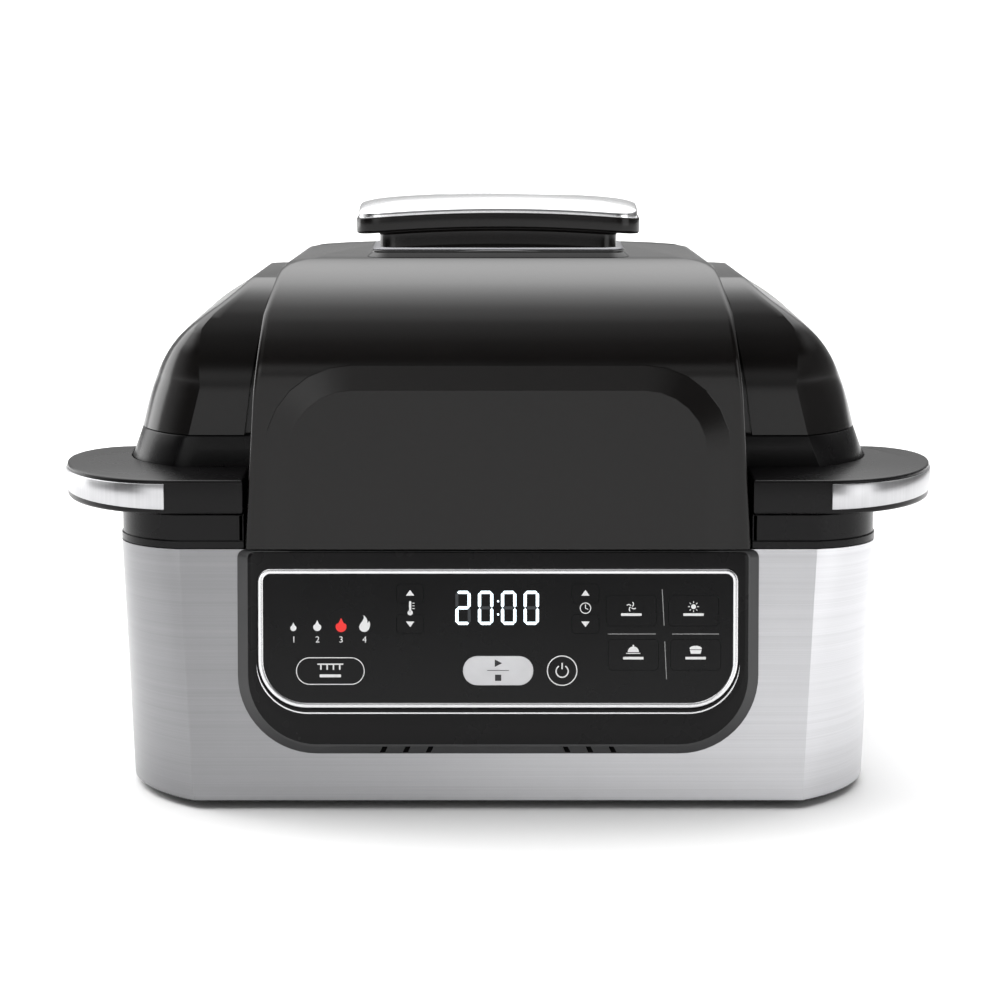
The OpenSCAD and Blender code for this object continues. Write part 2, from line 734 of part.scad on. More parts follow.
module key_outline(size, grow) {
    polygon(panel_outline(size[0] + grow, -size[1] - grow, size[1] + grow, size[2] + grow,
                          size[2] + grow));
}
module key(spot, size) {
    flange_z = pocket_z - seat_gap - key_flange_t;
    on_panel() translate([spot.x, spot.y, 0]) {
        translate([0, 0, flange_z + key_flange_t / 2])
            linear_extrude(bezel_t - 0.2 + key_proud - flange_z - key_flange_t / 2)
                key_outline(size, 0);
        translate([0, 0, flange_z]) linear_extrude(key_flange_t) key_outline(size, key_flange_w);
        stem_z = board_front_z + switch_h + key_travel + 0.2;
        translate([0, 0, stem_z]) cylinder(r = stem_r, h = flange_z - stem_z + seat_gap);
    }
}
module panel_overlay() {
    color(black) on_panel() translate([0, 0, pocket_z]) linear_extrude(overlay_t) difference() {
        ring_outline(-ring_w - 0.1);
        for (k = KEYS) translate(k[0]) key_outline(k[1], key_gap);
    }
}
module display_module() {
    color(dark_metal) on_panel()
        slab(panel_outline(display_half_w, display_y0, display_y1, 1, 1), board_front_z,
             pocket_z - 0.2);
}
module control_board() {
    color(board_green) on_panel() difference() {
        slab(panel_outline(board_half_w, board_y0 - 5, board_y1 + 5, 2, 2), board_z, board_front_z);
        for (p = board_hole_spots)
            translate([p.x, p.y, board_z - cut]) cylinder(r = screw_r + run_gap, h = 4);
    }
}
module board_screws() {
    color(steel) on_panel() for (p = board_hole_spots)
        translate([p.x, p.y, board_z - screw_head_h])
            screw(screw_r, plate_back_z - board_z - 0.1, screw_head_r, screw_head_h);
}
module key_switches() {
    color(dark_metal) on_panel() for (k = KEYS)
        translate([k[0].x, k[0].y, board_front_z]) {
            translate([-3, -3, 0]) cube([6, 6, switch_h - 1]);
            cylinder(r = stem_r, h = switch_h);
        }
}
module grill_key() { color(soft_black) key(KEYS[0][0], KEYS[0][1]); }
module start_stop_key() { color(bright) key(KEYS[1][0], KEYS[1][1]); }
module power_key() { color(soft_black) key(KEYS[2][0], KEYS[2][1]); }
module temp_up_key() { color(soft_black) key(KEYS[3][0], KEYS[3][1]); }
module temp_down_key() { color(soft_black) key(KEYS[4][0], KEYS[4][1]); }
module time_up_key() { color(soft_black) key(KEYS[5][0], KEYS[5][1]); }
module time_down_key() { color(soft_black) key(KEYS[6][0], KEYS[6][1]); }
module crisp_key() { color(soft_black) key(KEYS[7][0], KEYS[7][1]); }
module dehydrate_key() { color(soft_black) key(KEYS[8][0], KEYS[8][1]); }
module roast_key() { color(soft_black) key(KEYS[9][0], KEYS[9][1]); }
module bake_key() { color(soft_black) key(KEYS[10][0], KEYS[10][1]); }

module power_board() {
    board_bottom = foot_h + 1 + pan_post_h;
    color(board_green) translate([-power_w / 2, power_y - power_d / 2, board_bottom])
        cube([power_w, power_d, 1.6]);
    color(dark_metal) {
        translate([-60, power_y - 30, board_bottom + 1]) cube([45, 40, 26]);
        for (x = [10, 34]) translate([x, power_y + 10, board_bottom + 1]) cylinder(r = 9, h = 24);
        translate([22, power_y - 36, board_bottom + 1]) cube([42, 22, 18]);
    }
}

// ---- hinge -----------------------------------------------------------------------------

arm_w = 6;
arm_x0 = hinge_x + knuckle_w / 2 + seat_gap;
bracket_half_w = 13;
arm_z0 = lid_line_z + 4;
arm_z1 = arm_z0 + 6;
module knuckle(x0, x1, hole_r) {
    translate([x0, hinge_y, hinge_z]) rotate([0, 90, 0]) tube(knuckle_r, hole_r, x1 - x0);
}
module pin_hole(x0, x1) {
    translate([0, hinge_y, hinge_z]) bar_x(hinge_pin_r + run_gap, x0 - cut, x1 + cut);
}
module hinge_brackets() {
    x0 = hinge_x - knuckle_w / 2;
    x1 = hinge_x + knuckle_w / 2;
    plate_z0 = 138;
    color(steel) both_x() {
        difference() {
            union() {
                knuckle(x0, x1, hinge_pin_r + run_gap);
                translate([x0, rear_y + seat_gap, plate_z0 + 6])
                    cube([knuckle_w, 6, hinge_z - plate_z0 - 6]);
                translate([x0, rear_y + seat_gap + 2, hinge_z - 22])
                    cube([knuckle_w, hinge_y - rear_y, 18]);
                translate([hinge_x - bracket_half_w, rear_y + seat_gap, plate_z0])
                    cube([2 * bracket_half_w, wall_t, 28]);
            }
            pin_hole(x0, x1);
            for (p = hinge_screw_spots) translate([hinge_x - p.x, rear_y + 5, p.y])
                rotate([90, 0, 0]) cylinder(r = screw_r + run_gap, h = 20, center = true);
        }
    }
}
hinge_screw_spots = [[9, 146], [9, 160]];
module hinge_screws() {
    color(steel) both_x() for (p = hinge_screw_spots)
        translate([hinge_x - p.x, rear_y + seat_gap + wall_t + screw_head_h, p.y])
            rotate([90, 0, 0]) screw(screw_r, wall_t + seat_gap + 5, screw_head_r, screw_head_h);
}
module hinge_pins() {
    color(bright) both_x() translate([0, hinge_y, hinge_z]) {
        bar_x(hinge_pin_r, hinge_x - knuckle_w / 2 - 0.2, arm_x0 + arm_w + 1);
        bar_x(hinge_pin_r + 1.5, hinge_x - knuckle_w / 2 - 1.6, hinge_x - knuckle_w / 2 - 0.1);
        bar_x(hinge_pin_r + 1.5, arm_x0 + arm_w + 0.2, arm_x0 + arm_w + 1.6);
    }
}
arm_foot_w = 7;                             // how far the arm's foot reaches out on each side
module lid_hinge_arms() {
    foot_y = cook_y + liner_half_y + liner_flange_w + cut;
    color(steel) both_x() {
        difference() {
            union() {
                knuckle(arm_x0, arm_x0 + arm_w, hinge_pin_r + run_gap);
                translate([arm_x0, foot_y, arm_z0]) cube([arm_w, hinge_y - foot_y, arm_z1 - arm_z0]);
                translate([arm_x0 - arm_foot_w, foot_y, frame_up_z])
                    cube([arm_w + 2 * arm_foot_w, lid_rear_y - wall_t - seat_gap - foot_y,
                          arm_z0 - frame_up_z + 1]);
            }
            pin_hole(arm_x0, arm_x0 + arm_w);
        }
    }
}

// ---- lid -------------------------------------------------------------------------------

frame_z = lid_line_z + 0.7;                 // underside of the lid's inner frame
frame_up_z = frame_z + wall_t;              // its upper face
liner_half_x = pot_half_x + 3;
liner_half_y = pot_half_y + 3;
liner_r = pot_corner_r + 3;
liner_knee_z = 200;
liner_top_z = 214;
liner_slope = 14;
liner_t = 0.8;
liner_flange_w = 3;

shoulder_side_r = 80;                       // arc of the shoulders' sides
shoulder_lean_low = 8.5;                    // how far these lean in where the arc starts
shoulder_lean_high = 53.5;                  // and where the arc ends
shoulder_knee_z = 194;                      // the shoulders' front starts to curve back here
shoulder_crease_y = 70;
shoulder_fall = 1.4 * lid_fall;             // how far the section across has come down at the back
cover_knee_z = 207;
cover_crease_y = 90;
cover_fall = 1.8 * lid_fall;
cover_crest_z = lid_top_z + 2.5;            // the cover's section across, before its top is cut flat
rear_crease_y = 84;
rear_knee_z = 216;
cover_base_z = lid_line_z + seat_gap;       // lower edge of the cover behind the dip
side_bend_low_z = 200;                      // the cover's sides lean in more above this
side_bend_high_z = 236;                     // and more still above this

// Section of the two shoulders in X and Z: each side bends inwards as an arc, then runs straight
// up to a crease beside a flat strip
function shoulder_section(inset, z0) =
    let (c = [collar_half_top - shoulder_side_r * cos(shoulder_lean_low),
              frame_up_z - shoulder_side_r * sin(shoulder_lean_low)],
         bend = arc(c, shoulder_side_r - inset, shoulder_lean_low, shoulder_lean_high, 16),
         end = bend[len(bend) - 1],
         rise = shoulder_top_z - inset - end.y)
    both_sides(concat([[bend[0].x, z0]], bend,
                      [[end.x - rise * tan(shoulder_lean_high), end.y + rise]]));
// Section in Y and Z: upright front, an oval up to a crease, a flat top that falls a little to
// the back, and the rear
function side_section(front, knee_z, crease_y, top_z, rear, z0, inset) =
    concat([[-front + inset, z0]],
           oval([-crease_y, knee_z], -(front - crease_y - inset), top_z - knee_z - inset,
                0, 90, 18),
           oval([rear_crease_y, rear_knee_z], rear - rear_crease_y - inset,
                top_z - lid_fall - rear_knee_z - inset, 90, 0, 14),
           [[rear - inset, z0]]);
// A section across as it is further back, where its top has come down by fall
function fallen(section, top_z, fall) =
    [for (p = section) [p.x, p.y < lid_line_z ? p.y
                             : mix(lid_line_z, p.y, 1 - fall / (top_z - lid_line_z))]];
cover_side_top_z = cover_crest_z - 10;
// Half width of the cover at a height on its side
function cover_side(z) =
    mix(cover_half_bottom, cover_half_top,
        lookup(z, [[cover_bottom_z, 0], [side_bend_low_z, 0.33], [side_bend_high_z, 0.65],
                   [cover_side_top_z, 1]]));
function cover_section(inset, z0) =
    both_sides([[cover_half_bottom - inset, z0],
                [cover_side(side_bend_low_z) - inset, side_bend_low_z],
                [cover_side(side_bend_high_z) - inset, side_bend_high_z],
                [cover_half_top - inset, cover_side_top_z],
                [cover_half_top - inset - 1.6, cover_crest_z - 6.6 - 0.6 * inset],
                [cover_half_top - inset - 4.4, cover_crest_z - 4.4 - 0.9 * inset],
                [cover_half_top - 8 - 0.6 * inset, cover_crest_z - 3.2 - inset],
                [85.2, cover_crest_z - 2 - inset], [63, cover_crest_z - 0.8 - inset],
                [30, cover_crest_z - inset]]);

// Solid over a section across: straight as far back as the crease, then coming down by fall
module falling_solid(section, crease_y, top_z, fall) {
    length = lid_rear_y + crease_y;
    along_y(section, -front_bottom_y, -crease_y);
    translate([0, lid_rear_y, 0]) rotate([90, 0, 0])
        taper(fallen(section, top_z, fall), section, 0, length);
}
module shoulder_solid(inset, z0) {
    intersection() {
        slab(creased_plan(collar_half_top, collar_crease_top, shoulder_front_y, collar_turn,
                               lid_rear_y, inset), z0, shoulder_top_z + cut);
        falling_solid(shoulder_section(inset, z0), shoulder_crease_y, shoulder_top_z,
                      shoulder_fall);
        along_x(side_section(shoulder_front_y, shoulder_knee_z, shoulder_crease_y,
                             shoulder_top_z, lid_rear_y, z0, inset), body_top_w / 2);
    }
}
module cover_solid(inset, z0) {
    intersection() {
        falling_solid(cover_section(inset, z0), cover_crease_y, cover_crest_z, cover_fall);
        along_x(side_section(cover_front_y, cover_knee_z, cover_crease_y, lid_top_z,
                             lid_rear_y, z0, inset), cover_half_bottom + cut);
    }
}
module middle_band(half_w) {
    translate([-half_w, -front_bottom_y, 0]) cube([2 * half_w, 2 * front_bottom_y, 2 * lid_top_z]);
}

// The space between the shoulders follows the cover's sides, with a gap that narrows upwards
channel_half_w = cover_side(lid_line_z) + channel_gap_low;
module channel_band(grow) {
    along_y(both_sides([for (z = [lid_line_z - 2 * cut, side_bend_low_z, side_bend_high_z,
                                  shoulder_top_z + 2 * cut])
                           [cover_side(z) + grow
                            + mix(channel_gap_low, channel_gap_top,
                                  (z - lid_line_z) / (shoulder_top_z - lid_line_z)), z]]),
            -front_bottom_y, front_bottom_y);
}

channel_floor_half = cover_half_top - 1.4;  // the channel's floor ends this far from the middle
rail_h = 11;
lid_post_spots = [[148, -62], [152, 92]];
lid_post_r = 4.5;
module lid_post_holes(r, z0, h) {
    both_x() for (p = lid_post_spots) translate([p.x, p.y, z0]) cylinder(r = r, h = h);
}
module lid_shell() {
    color(black) difference() {
        union() {
            difference() {
                shoulder_solid(0, lid_line_z);
                shoulder_solid(wall_t, lid_line_z - cut);
                channel_band(0);
            }
            // floor and side wall of the channel
            intersection() {
                difference() {
                    shoulder_solid(channel_depth, lid_line_z);
                    shoulder_solid(channel_depth + wall_t, lid_line_z - cut);
                }
                channel_band(wall_t);
            }
            intersection() {
                difference() {
                    shoulder_solid(0.2, lid_line_z);
                    shoulder_solid(channel_depth + wall_t, lid_line_z - cut);
                }
                difference() {
                    channel_band(wall_t);
                    channel_band(0);
                }
            }
            intersection() {
                shoulder_solid(wall_t / 2, lid_line_z);
                lid_post_holes(lid_post_r, frame_up_z + seat_gap, shoulder_top_z);
            }
        }
        // the middle is open under the cover, except for a rail low in front
        difference() {
            middle_band(channel_floor_half);
            translate([-channel_half_w, -front_bottom_y, lid_line_z - cut])
                cube([2 * channel_half_w, front_bottom_y, rail_h + cut]);
        }
        lid_post_holes(screw_r + run_gap, lid_line_z, frame_up_z + 12 - lid_line_z);
    }
}

vent_half_w = 52;
vent_z0 = 186;
vent_z1 = 216;
module vent_opening(grow) {
    along_y(panel_outline(vent_half_w + grow, vent_z0 - grow, vent_z1 + grow, 4 + grow, 4 + grow),
            lid_rear_y - 3 * wall_t, lid_rear_y + cut);
}
handle_bolt_spots = [[40, -60], [40, -44]];
module handle_bolt_holes(r, z0, h) {
    both_x() for (p = handle_bolt_spots) translate([p.x, p.y, z0]) cylinder(r = r, h = h);
}
module lid_cover() {
    color(black) difference() {
        union() {
            difference() {
                cover_solid(0, cover_bottom_z);
                cover_solid(wall_t, cover_bottom_z - cut);
                // behind the dip the cover ends at the lid line and on the channel's floor
                translate([-channel_half_w, -shoulder_front_y - seat_gap, 0])
                    cube([2 * channel_half_w, 2 * front_bottom_y, cover_base_z]);
            }
            boss();
        }
        difference() {
            shoulder_solid(channel_depth - seat_gap, lid_line_z - cut);
            middle_band(channel_floor_half - seat_gap);
        }
        vent_opening(0);
        both_x() translate([arm_x0 - 0.6, lid_rear_y - 3 * wall_t, lid_line_z - cut])
            cube([arm_w + 1.2, 4 * wall_t, arm_z1 - lid_line_z + cut + 0.6]);
        handle_bolt_holes(screw_r + run_gap, lid_top_z - 20, 40);
    }
}
// Raised front panel with a bevelled edge
panel_boss_r = 42;
module boss() {
    translate([0, -cover_front_y, 0]) rotate([90, 0, 0]) {
        slab(panel_outline(boss_half_w, cover_bottom_z, boss_top_z, 1, panel_boss_r), -1, 0);
        taper(panel_outline(boss_half_w, cover_bottom_z, boss_top_z, 1, panel_boss_r),
              panel_outline(boss_half_w - boss_bevel, cover_bottom_z, boss_top_z - boss_bevel,
                            1, panel_boss_r - boss_bevel), 0, boss_h);
    }
}

module rear_vent_grille() {
    color(soft_black) difference() {
        along_y(panel_outline(vent_half_w - seat_gap, vent_z0 + seat_gap, vent_z1 - seat_gap, 4, 4),
                lid_rear_y - wall_t, lid_rear_y - 0.4);
        for (z = [vent_z0 + 4:5:vent_z1 - 5], side = [-1, 0, 1])
            translate([side * 33 - 14, lid_rear_y - 2 * wall_t, z]) cube([28, 4 * wall_t, 2.4]);
    }
}

module lid_frame() {
    color(soft_black) difference() {
        slab(creased_plan(collar_half_top, collar_crease_top, shoulder_front_y, collar_turn,
                               lid_rear_y, wall_t + seat_gap), frame_z, frame_up_z);
        cook_slab(liner_half_x - liner_t, liner_half_y - liner_t, liner_r - liner_t,
                  frame_z - cut, frame_up_z + cut);
        channel_in = channel_depth + wall_t + seat_gap;
        for (side = [0, 1]) mirror([0, side, 0])
            translate([-channel_half_w - wall_t - seat_gap,
                       side ? -lid_rear_y - cut : -shoulder_front_y - cut, frame_z - cut])
                cube([2 * (channel_half_w + wall_t + seat_gap), channel_in + cut, 4 * wall_t]);
        lid_post_holes(screw_r + run_gap, frame_z - cut, 10);
        gasket_groove(frame_z - cut, frame_z + 1.2, 0.2);
    }
}
gasket_half_x = pot_half_x + 4.8;           // middle line of the seal
gasket_half_y = pot_half_y + 4.8;
gasket_r = pot_corner_r + 4.8;
gasket_w = 4.4;
module gasket_groove(z0, z1, grow) {
    w = 0.9 + grow;
    difference() {
        cook_slab(gasket_half_x + w, gasket_half_y + w, gasket_r + w, z0, z1);
        cook_slab(gasket_half_x - w, gasket_half_y - w, gasket_r - w, z0 - cut, z1 + cut);
    }
}
module lid_gasket() {
    w = gasket_w / 2;
    color("dimgray") {
        difference() {
            cook_slab(gasket_half_x + w, gasket_half_y + w, gasket_r + w,
                      pot_rim_z + pot_rim_t + seat_gap, frame_z);
            cook_slab(gasket_half_x - w, gasket_half_y - w, gasket_r - w, deck_z - 10, frame_z + cut);
        }
        gasket_groove(frame_z - 0.2, frame_z + 1, 0);
    }
}

module liner_form(inset, z0) {
    half_x = liner_half_x - inset;
    half_y = liner_half_y - inset;
    top_r = liner_r - liner_slope / 2;
    cook_slab(half_x, half_y, liner_r - inset, z0, liner_knee_z);
    translate([0, cook_y, 0])
        taper(rounded_plan(half_x, half_y, liner_r - inset),
              rounded_plan(half_x - liner_slope, half_y - liner_slope, top_r),
              liner_knee_z, liner_top_z - inset);
}
probe_spot = [-70, 184];
probe_r = 1.6;
module lid_liner() {
    color(steel) difference() {
        union() {
            liner_form(0, frame_up_z);
            cook_slab(liner_half_x + liner_flange_w, liner_half_y + liner_flange_w,
                      liner_r + liner_flange_w, frame_up_z, frame_up_z + liner_t);
        }
        liner_form(liner_t, frame_up_z - cut);
        translate([0, cook_y, liner_top_z - 4]) cylinder(r = shaft_hole_r, h = 8);
        at_terminals() cylinder(r = element_d / 2 + 0.3, h = 8);
        translate([probe_spot.x, cook_y + liner_half_y, probe_spot.y]) rotate([90, 0, 0])
            cylinder(r = probe_r + 0.3, h = 6, center = true);
    }
}

// ---- heat and air ----------------------------------------------------------------------

element_z = 188;
element_gap_angle = 6;
module at_terminals() {
    for (side = [-1, 1])
        translate([side * element_r * sin(element_gap_angle),
                   cook_y + element_r * cos(element_gap_angle), liner_top_z - 4])
            children();
}
module heating_element() {
    r = element_d / 2;
    color(dark_metal) {
        translate([0, cook_y, element_z]) rotate([0, 0, 90 + element_gap_angle])
            rotate_extrude(angle = 360 - 2 * element_gap_angle, $fn = 180)
                translate([element_r, 0]) circle(r = r);
        at_terminals() {
            translate([0, 0, element_z - liner_top_z + 4])
                cylinder(r = r, h = liner_top_z + 12 - element_z);
            translate([0, 0, element_z - liner_top_z + 4]) sphere(r = r + 0.2);
        }
    }
}
clip_angles = [20, 160, 270];
clip_w = 9;
clip_t = 1;
module element_clips() {
    in_r = element_r - element_d / 2 - seat_gap - clip_t;
    low_z = element_z - element_d / 2 - seat_gap - clip_t;
    color(steel) translate([0, cook_y, 0]) for (a = clip_angles) rotate([0, 0, a]) {
        translate([in_r, -clip_w / 2, low_z])
            cube([clip_t, clip_w, liner_top_z - liner_t - 0.1 - low_z]);
        translate([in_r, -clip_w / 2, low_z]) cube([element_d + 2, clip_w, clip_t]);
    }
}

shield_z = frame_up_z + liner_t + 1.5;
shield_t = 1;
shield_gap = 0.5;
module splatter_shield() {
    half_x = liner_half_x - liner_t - shield_gap;
    half_y = liner_half_y - liner_t - shield_gap;
    color(steel) {
        difference() {
            cook_slab(half_x, half_y, liner_r - liner_t - shield_gap, shield_z, shield_z + shield_t);
            translate([0, cook_y, shield_z - cut]) for (row = [0:3], n = 8 + 6 * row, i = [0:n - 1])
                rotate([0, 0, 360 * i / n]) translate([24 + 22 * row, -3, 0])
                    cube([12, 6, 3 * shield_t]);
        }
        for (side = [-1, 1], x = [-60, 60])
            translate([x - 8, cook_y + side * (half_y - shield_t / 2) - shield_t / 2, shield_z])
                cube([16, shield_t, 8]);
    }
}
module temperature_probe() {
    wall_y = cook_y + liner_half_y;
    color(bright) translate([probe_spot.x, wall_y, probe_spot.y]) rotate([90, 0, 0]) {
        translate([0, 0, -6]) cylinder(r = probe_r, h = 32);
        translate([0, 0, -5]) cylinder(r = 4, h = 4.9);
    }
}

bracket_z = liner_top_z;
bracket_t = 2;
bracket_half_l = liner_half_x - liner_slope - 20;
bracket_w = 36;
bracket_screw_x = bracket_half_l - 14;
shaft_hole_r = shaft_r + 2;                 // hole that the motor shaft passes without touching
motor_z = bracket_z + bracket_t;
motor_h = 26;
motor_r = 30;
cooling_fan_z = motor_z + motor_h + 2.4;
module motor_bracket() {
    color(steel) difference() {
        translate([-bracket_half_l, cook_y - bracket_w / 2, bracket_z])
            cube([2 * bracket_half_l, bracket_w, bracket_t]);
        translate([0, cook_y, bracket_z - cut]) cylinder(r = shaft_hole_r, h = 8);
        both_x() translate([bracket_screw_x, cook_y, bracket_z - cut])
            cylinder(r = screw_r, h = 8);
    }
}
module fan_motor() {
    color(dark_metal) translate([0, cook_y, motor_z]) difference() {
        union() {
            tube(motor_r, shaft_r + run_gap, motor_h - 6);
            cylinder(r = 12, h = motor_h);
            for (a = [45:90:315]) rotate([0, 0, a]) translate([motor_r - 2, -4, 0]) cube([8, 8, 3]);
        }
        translate([0, 0, -cut]) cylinder(r = shaft_r + run_gap, h = motor_h + 2 * cut);
    }
}
fan_z = 196;
fan_h = 12;
fan_hub_r = 9;
cooling_fan_r = 44;
cooling_fan_h = 5;
cooling_hub_r = 10;
module motor_shaft() {
    color(bright) translate([0, cook_y, fan_z - 2])
        cylinder(r = shaft_r, h = cooling_fan_z + cooling_fan_h - fan_z);
}
module fan_blades(n, r_in, r_out, z0, h, twist) {
    for (i = [0:n - 1]) rotate([0, 0, 360 * i / n]) translate([r_in, 0, z0])
        rotate([twist, 0, 0]) translate([0, -0.5, 0]) cube([r_out - r_in, 1, h]);
}
module fan_wheel() {
    color(steel) translate([0, cook_y, fan_z]) {
        tube(fan_hub_r, shaft_r, fan_h);
        translate([0, 0, fan_h - 1.2]) tube(fan_d / 2 - 6, shaft_r, 1.2);
        fan_blades(fan_blades, fan_hub_r - 1, fan_d / 2, 0, fan_h - 0.6, 0);
    }
}
module cooling_fan() {
    color(soft_black) translate([0, cook_y, cooling_fan_z]) {
        tube(cooling_hub_r, shaft_r, cooling_fan_h);
        fan_blades(7, cooling_hub_r - 1, cooling_fan_r, 0, cooling_fan_h - 0.4, 18);
    }
}

// ---- lid handle ------------------------------------------------------------------------

grip_back_y = grip_front_y - grip_depth;
neck_front_y = grip_front_y - 12;
neck_back_y = neck_front_y - neck_depth;
grip_bottom_z = lid_top_z + grip_lift;
grip_top_z = grip_bottom_z + grip_t;
cap_top_z = grip_top_z + cap_h;
grip_corner_r = 12;
neck_corner_r = 8;
// Height of an arched line across the handle: its ends hang lower than its middle
function sagged(z, x) = z - grip_sag * pow(x / grip_half_w, 2);
function arched(z0, z1, half_w) =
    concat([for (i = [-12:12]) let (x = half_w * i / 12) [x, sagged(z0, x)]],
           [for (i = [12:-1:-12]) let (x = half_w * i / 12) [x, sagged(z1, x)]]);
function grip_plan(inset) =
    panel_outline(grip_half_w - inset, -grip_front_y + inset, -grip_back_y - inset,
                  grip_corner_r - inset, grip_corner_r - inset);
module lid_handle_grip() {
    color(black) difference() {
        intersection() {
            along_y(arched(grip_bottom_z, grip_top_z, grip_half_w + cut),
                    -grip_front_y, -grip_back_y);
            slab(grip_plan(0), grip_bottom_z - 20, grip_top_z + 20);
        }
        handle_bolt_holes(screw_r + run_gap, grip_bottom_z - 10, 14);
    }
}
cap_inset = 1.2;
cap_mid_y = (grip_front_y + grip_back_y) / 2;
cap_edge_t = 1.4;
cap_crown = cap_top_z - grip_top_z - cap_edge_t;
module lid_handle_cap() {
    half_d = grip_depth / 2;
    crown = concat([for (i = [-10:10]) let (v = i / 10)
                       [-cap_mid_y + half_d * v, cap_top_z - cap_crown * v * v]],
                   [[-grip_back_y, grip_bottom_z], [-grip_front_y, grip_bottom_z]]);
    color(bright) intersection() {
        along_y(arched(grip_top_z + 0.05, cap_top_z + 0.1, grip_half_w + cut),
                -grip_front_y, -grip_back_y);
        along_x(crown, grip_half_w);
        slab(grip_plan(cap_inset), grip_bottom_z - 20, cap_top_z + cut);
    }
}
module lid_handle_base() {
    flange = panel_outline(neck_half_w + 4, -neck_front_y - 3, -neck_back_y + 3,
                           neck_corner_r, neck_corner_r);
    neck = panel_outline(neck_half_w, -neck_front_y, -neck_back_y, neck_corner_r, neck_corner_r);
    color(black) difference() {
        intersection() {
            union() {
                slab(flange, lid_top_z - 12, lid_top_z + 1);
                slab(neck, lid_top_z - 12, cap_top_z);
            }
            along_y(arched(0, grip_bottom_z - 0.05, neck_half_w + 10), -grip_front_y, 0);
        }
        cover_solid(-0.05, lid_line_z);
        handle_bolt_holes(screw_r + run_gap, lid_top_z - 20, 40);
    }
}
module handle_bolts() {
    head_z = lid_top_z - wall_t - screw_head_h - 1.8;
    color(steel) both_x() for (p = handle_bolt_spots) translate([p.x, p.y, head_z])
        screw(screw_r, grip_bottom_z + 3 - head_z - screw_head_h, screw_head_r, screw_head_h);
}
module lid_screws() {
    color(steel) both_x() for (p = lid_post_spots) translate([p.x, p.y, frame_z - 0.6])
        screw(screw_r, frame_up_z + 11 - frame_z - 0.6, screw_head_r, 0.55);
}

base_pan();
rubber_feet();
base_screws();
base_frame();
steel_wrap();
rear_cover();
cord_inlet();
upper_collar();
left_handle();
right_handle();
left_handle_strip();
right_handle_strip();
handle_screws();
well_liner();
cooking_pot();
grill_grate();
control_bezel();
panel_ring();
panel_overlay();
display_module();
control_board();
board_screws();
key_switches();
power_board();
hinge_brackets();
hinge_pins();
hinge_screws();
grill_key();
start_stop_key();
power_key();
temp_up_key();
temp_down_key();
time_up_key();
time_down_key();
crisp_key();
dehydrate_key();
roast_key();
bake_key();
lid_shell();
lid_cover();
lid_frame();
lid_liner();
lid_gasket();
lid_hinge_arms();
lid_screws();
heating_element();
element_clips();
splatter_shield();
temperature_probe();
fan_motor();
motor_bracket();
rear_vent_grille();
lid_handle_base();
lid_handle_grip();
lid_handle_cap();
handle_bolts();
motor_shaft();
fan_wheel();
cooling_fan();
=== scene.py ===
"""Countertop electric grill with a hinged lid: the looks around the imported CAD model.

Outlines are written in millimetres in the model's frame (front is -Y, up is +Z) and the
mesh helpers turn them into metres. Visible housings are rebuilt as smooth moulded shells
in the space of their CAD nodes; the rest keeps the CAD node and gets a finished material.
"""
import json
from math import asin, atan2, ceil, cos, degrees, dist, exp, hypot, pi, radians, sin, sqrt, tan

import bmesh
import bpy
from mathutils import Matrix, Vector


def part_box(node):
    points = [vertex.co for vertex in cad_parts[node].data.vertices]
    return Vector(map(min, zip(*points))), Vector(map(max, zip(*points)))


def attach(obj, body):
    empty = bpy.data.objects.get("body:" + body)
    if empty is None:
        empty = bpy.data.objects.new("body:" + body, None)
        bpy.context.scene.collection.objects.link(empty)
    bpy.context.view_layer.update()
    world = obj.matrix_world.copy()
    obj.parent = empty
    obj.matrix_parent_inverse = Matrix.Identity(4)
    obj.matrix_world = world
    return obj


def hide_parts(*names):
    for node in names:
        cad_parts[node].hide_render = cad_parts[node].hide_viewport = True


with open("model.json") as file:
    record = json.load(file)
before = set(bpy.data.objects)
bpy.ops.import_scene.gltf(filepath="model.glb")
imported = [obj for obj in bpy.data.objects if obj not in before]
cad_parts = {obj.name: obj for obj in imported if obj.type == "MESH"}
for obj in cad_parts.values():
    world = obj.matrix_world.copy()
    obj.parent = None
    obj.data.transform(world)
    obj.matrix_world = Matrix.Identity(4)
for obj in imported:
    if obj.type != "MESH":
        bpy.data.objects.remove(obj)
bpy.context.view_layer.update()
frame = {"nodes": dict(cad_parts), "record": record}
NODES = frame["nodes"]
MM = 0.001


# ---- outlines ----

def mix(a, b, u):
    return a + (b - a) * u


def oval(cx, cy, a, b, start, end, count):
    """Points round an oval from one angle to another, in degrees."""
    turns = [radians(mix(start, end, i / count)) for i in range(count + 1)]
    return [(cx + a * cos(t), cy + b * sin(t)) for t in turns]


def arc(cx, cy, r, start, end, count):
    return oval(cx, cy, r, r, start, end, count)


def line(p, q, count):
    """Points from p to q, without q."""
    return [tuple(mix(a, b, i / count) for a, b in zip(p, q)) for i in range(count)]


def both_sides(half):
    return half + [(-x, y) for x, y in reversed(half)]


def rounded_box(half_x, y0, y1, r_low, r_high, count=8):
    """Outline with one radius at its lower corners and another at its upper ones."""
    return both_sides(arc(half_x - r_low, y0 + r_low, r_low, -90, 0, count)
                      + arc(half_x - r_high, y1 - r_high, r_high, 0, 90, count))


def moved(outline, cx, cy):
    return [(cx + x, cy + y) for x, y in outline]


def raised(outline, z):
    return [(x, y, z) for x, y in outline]


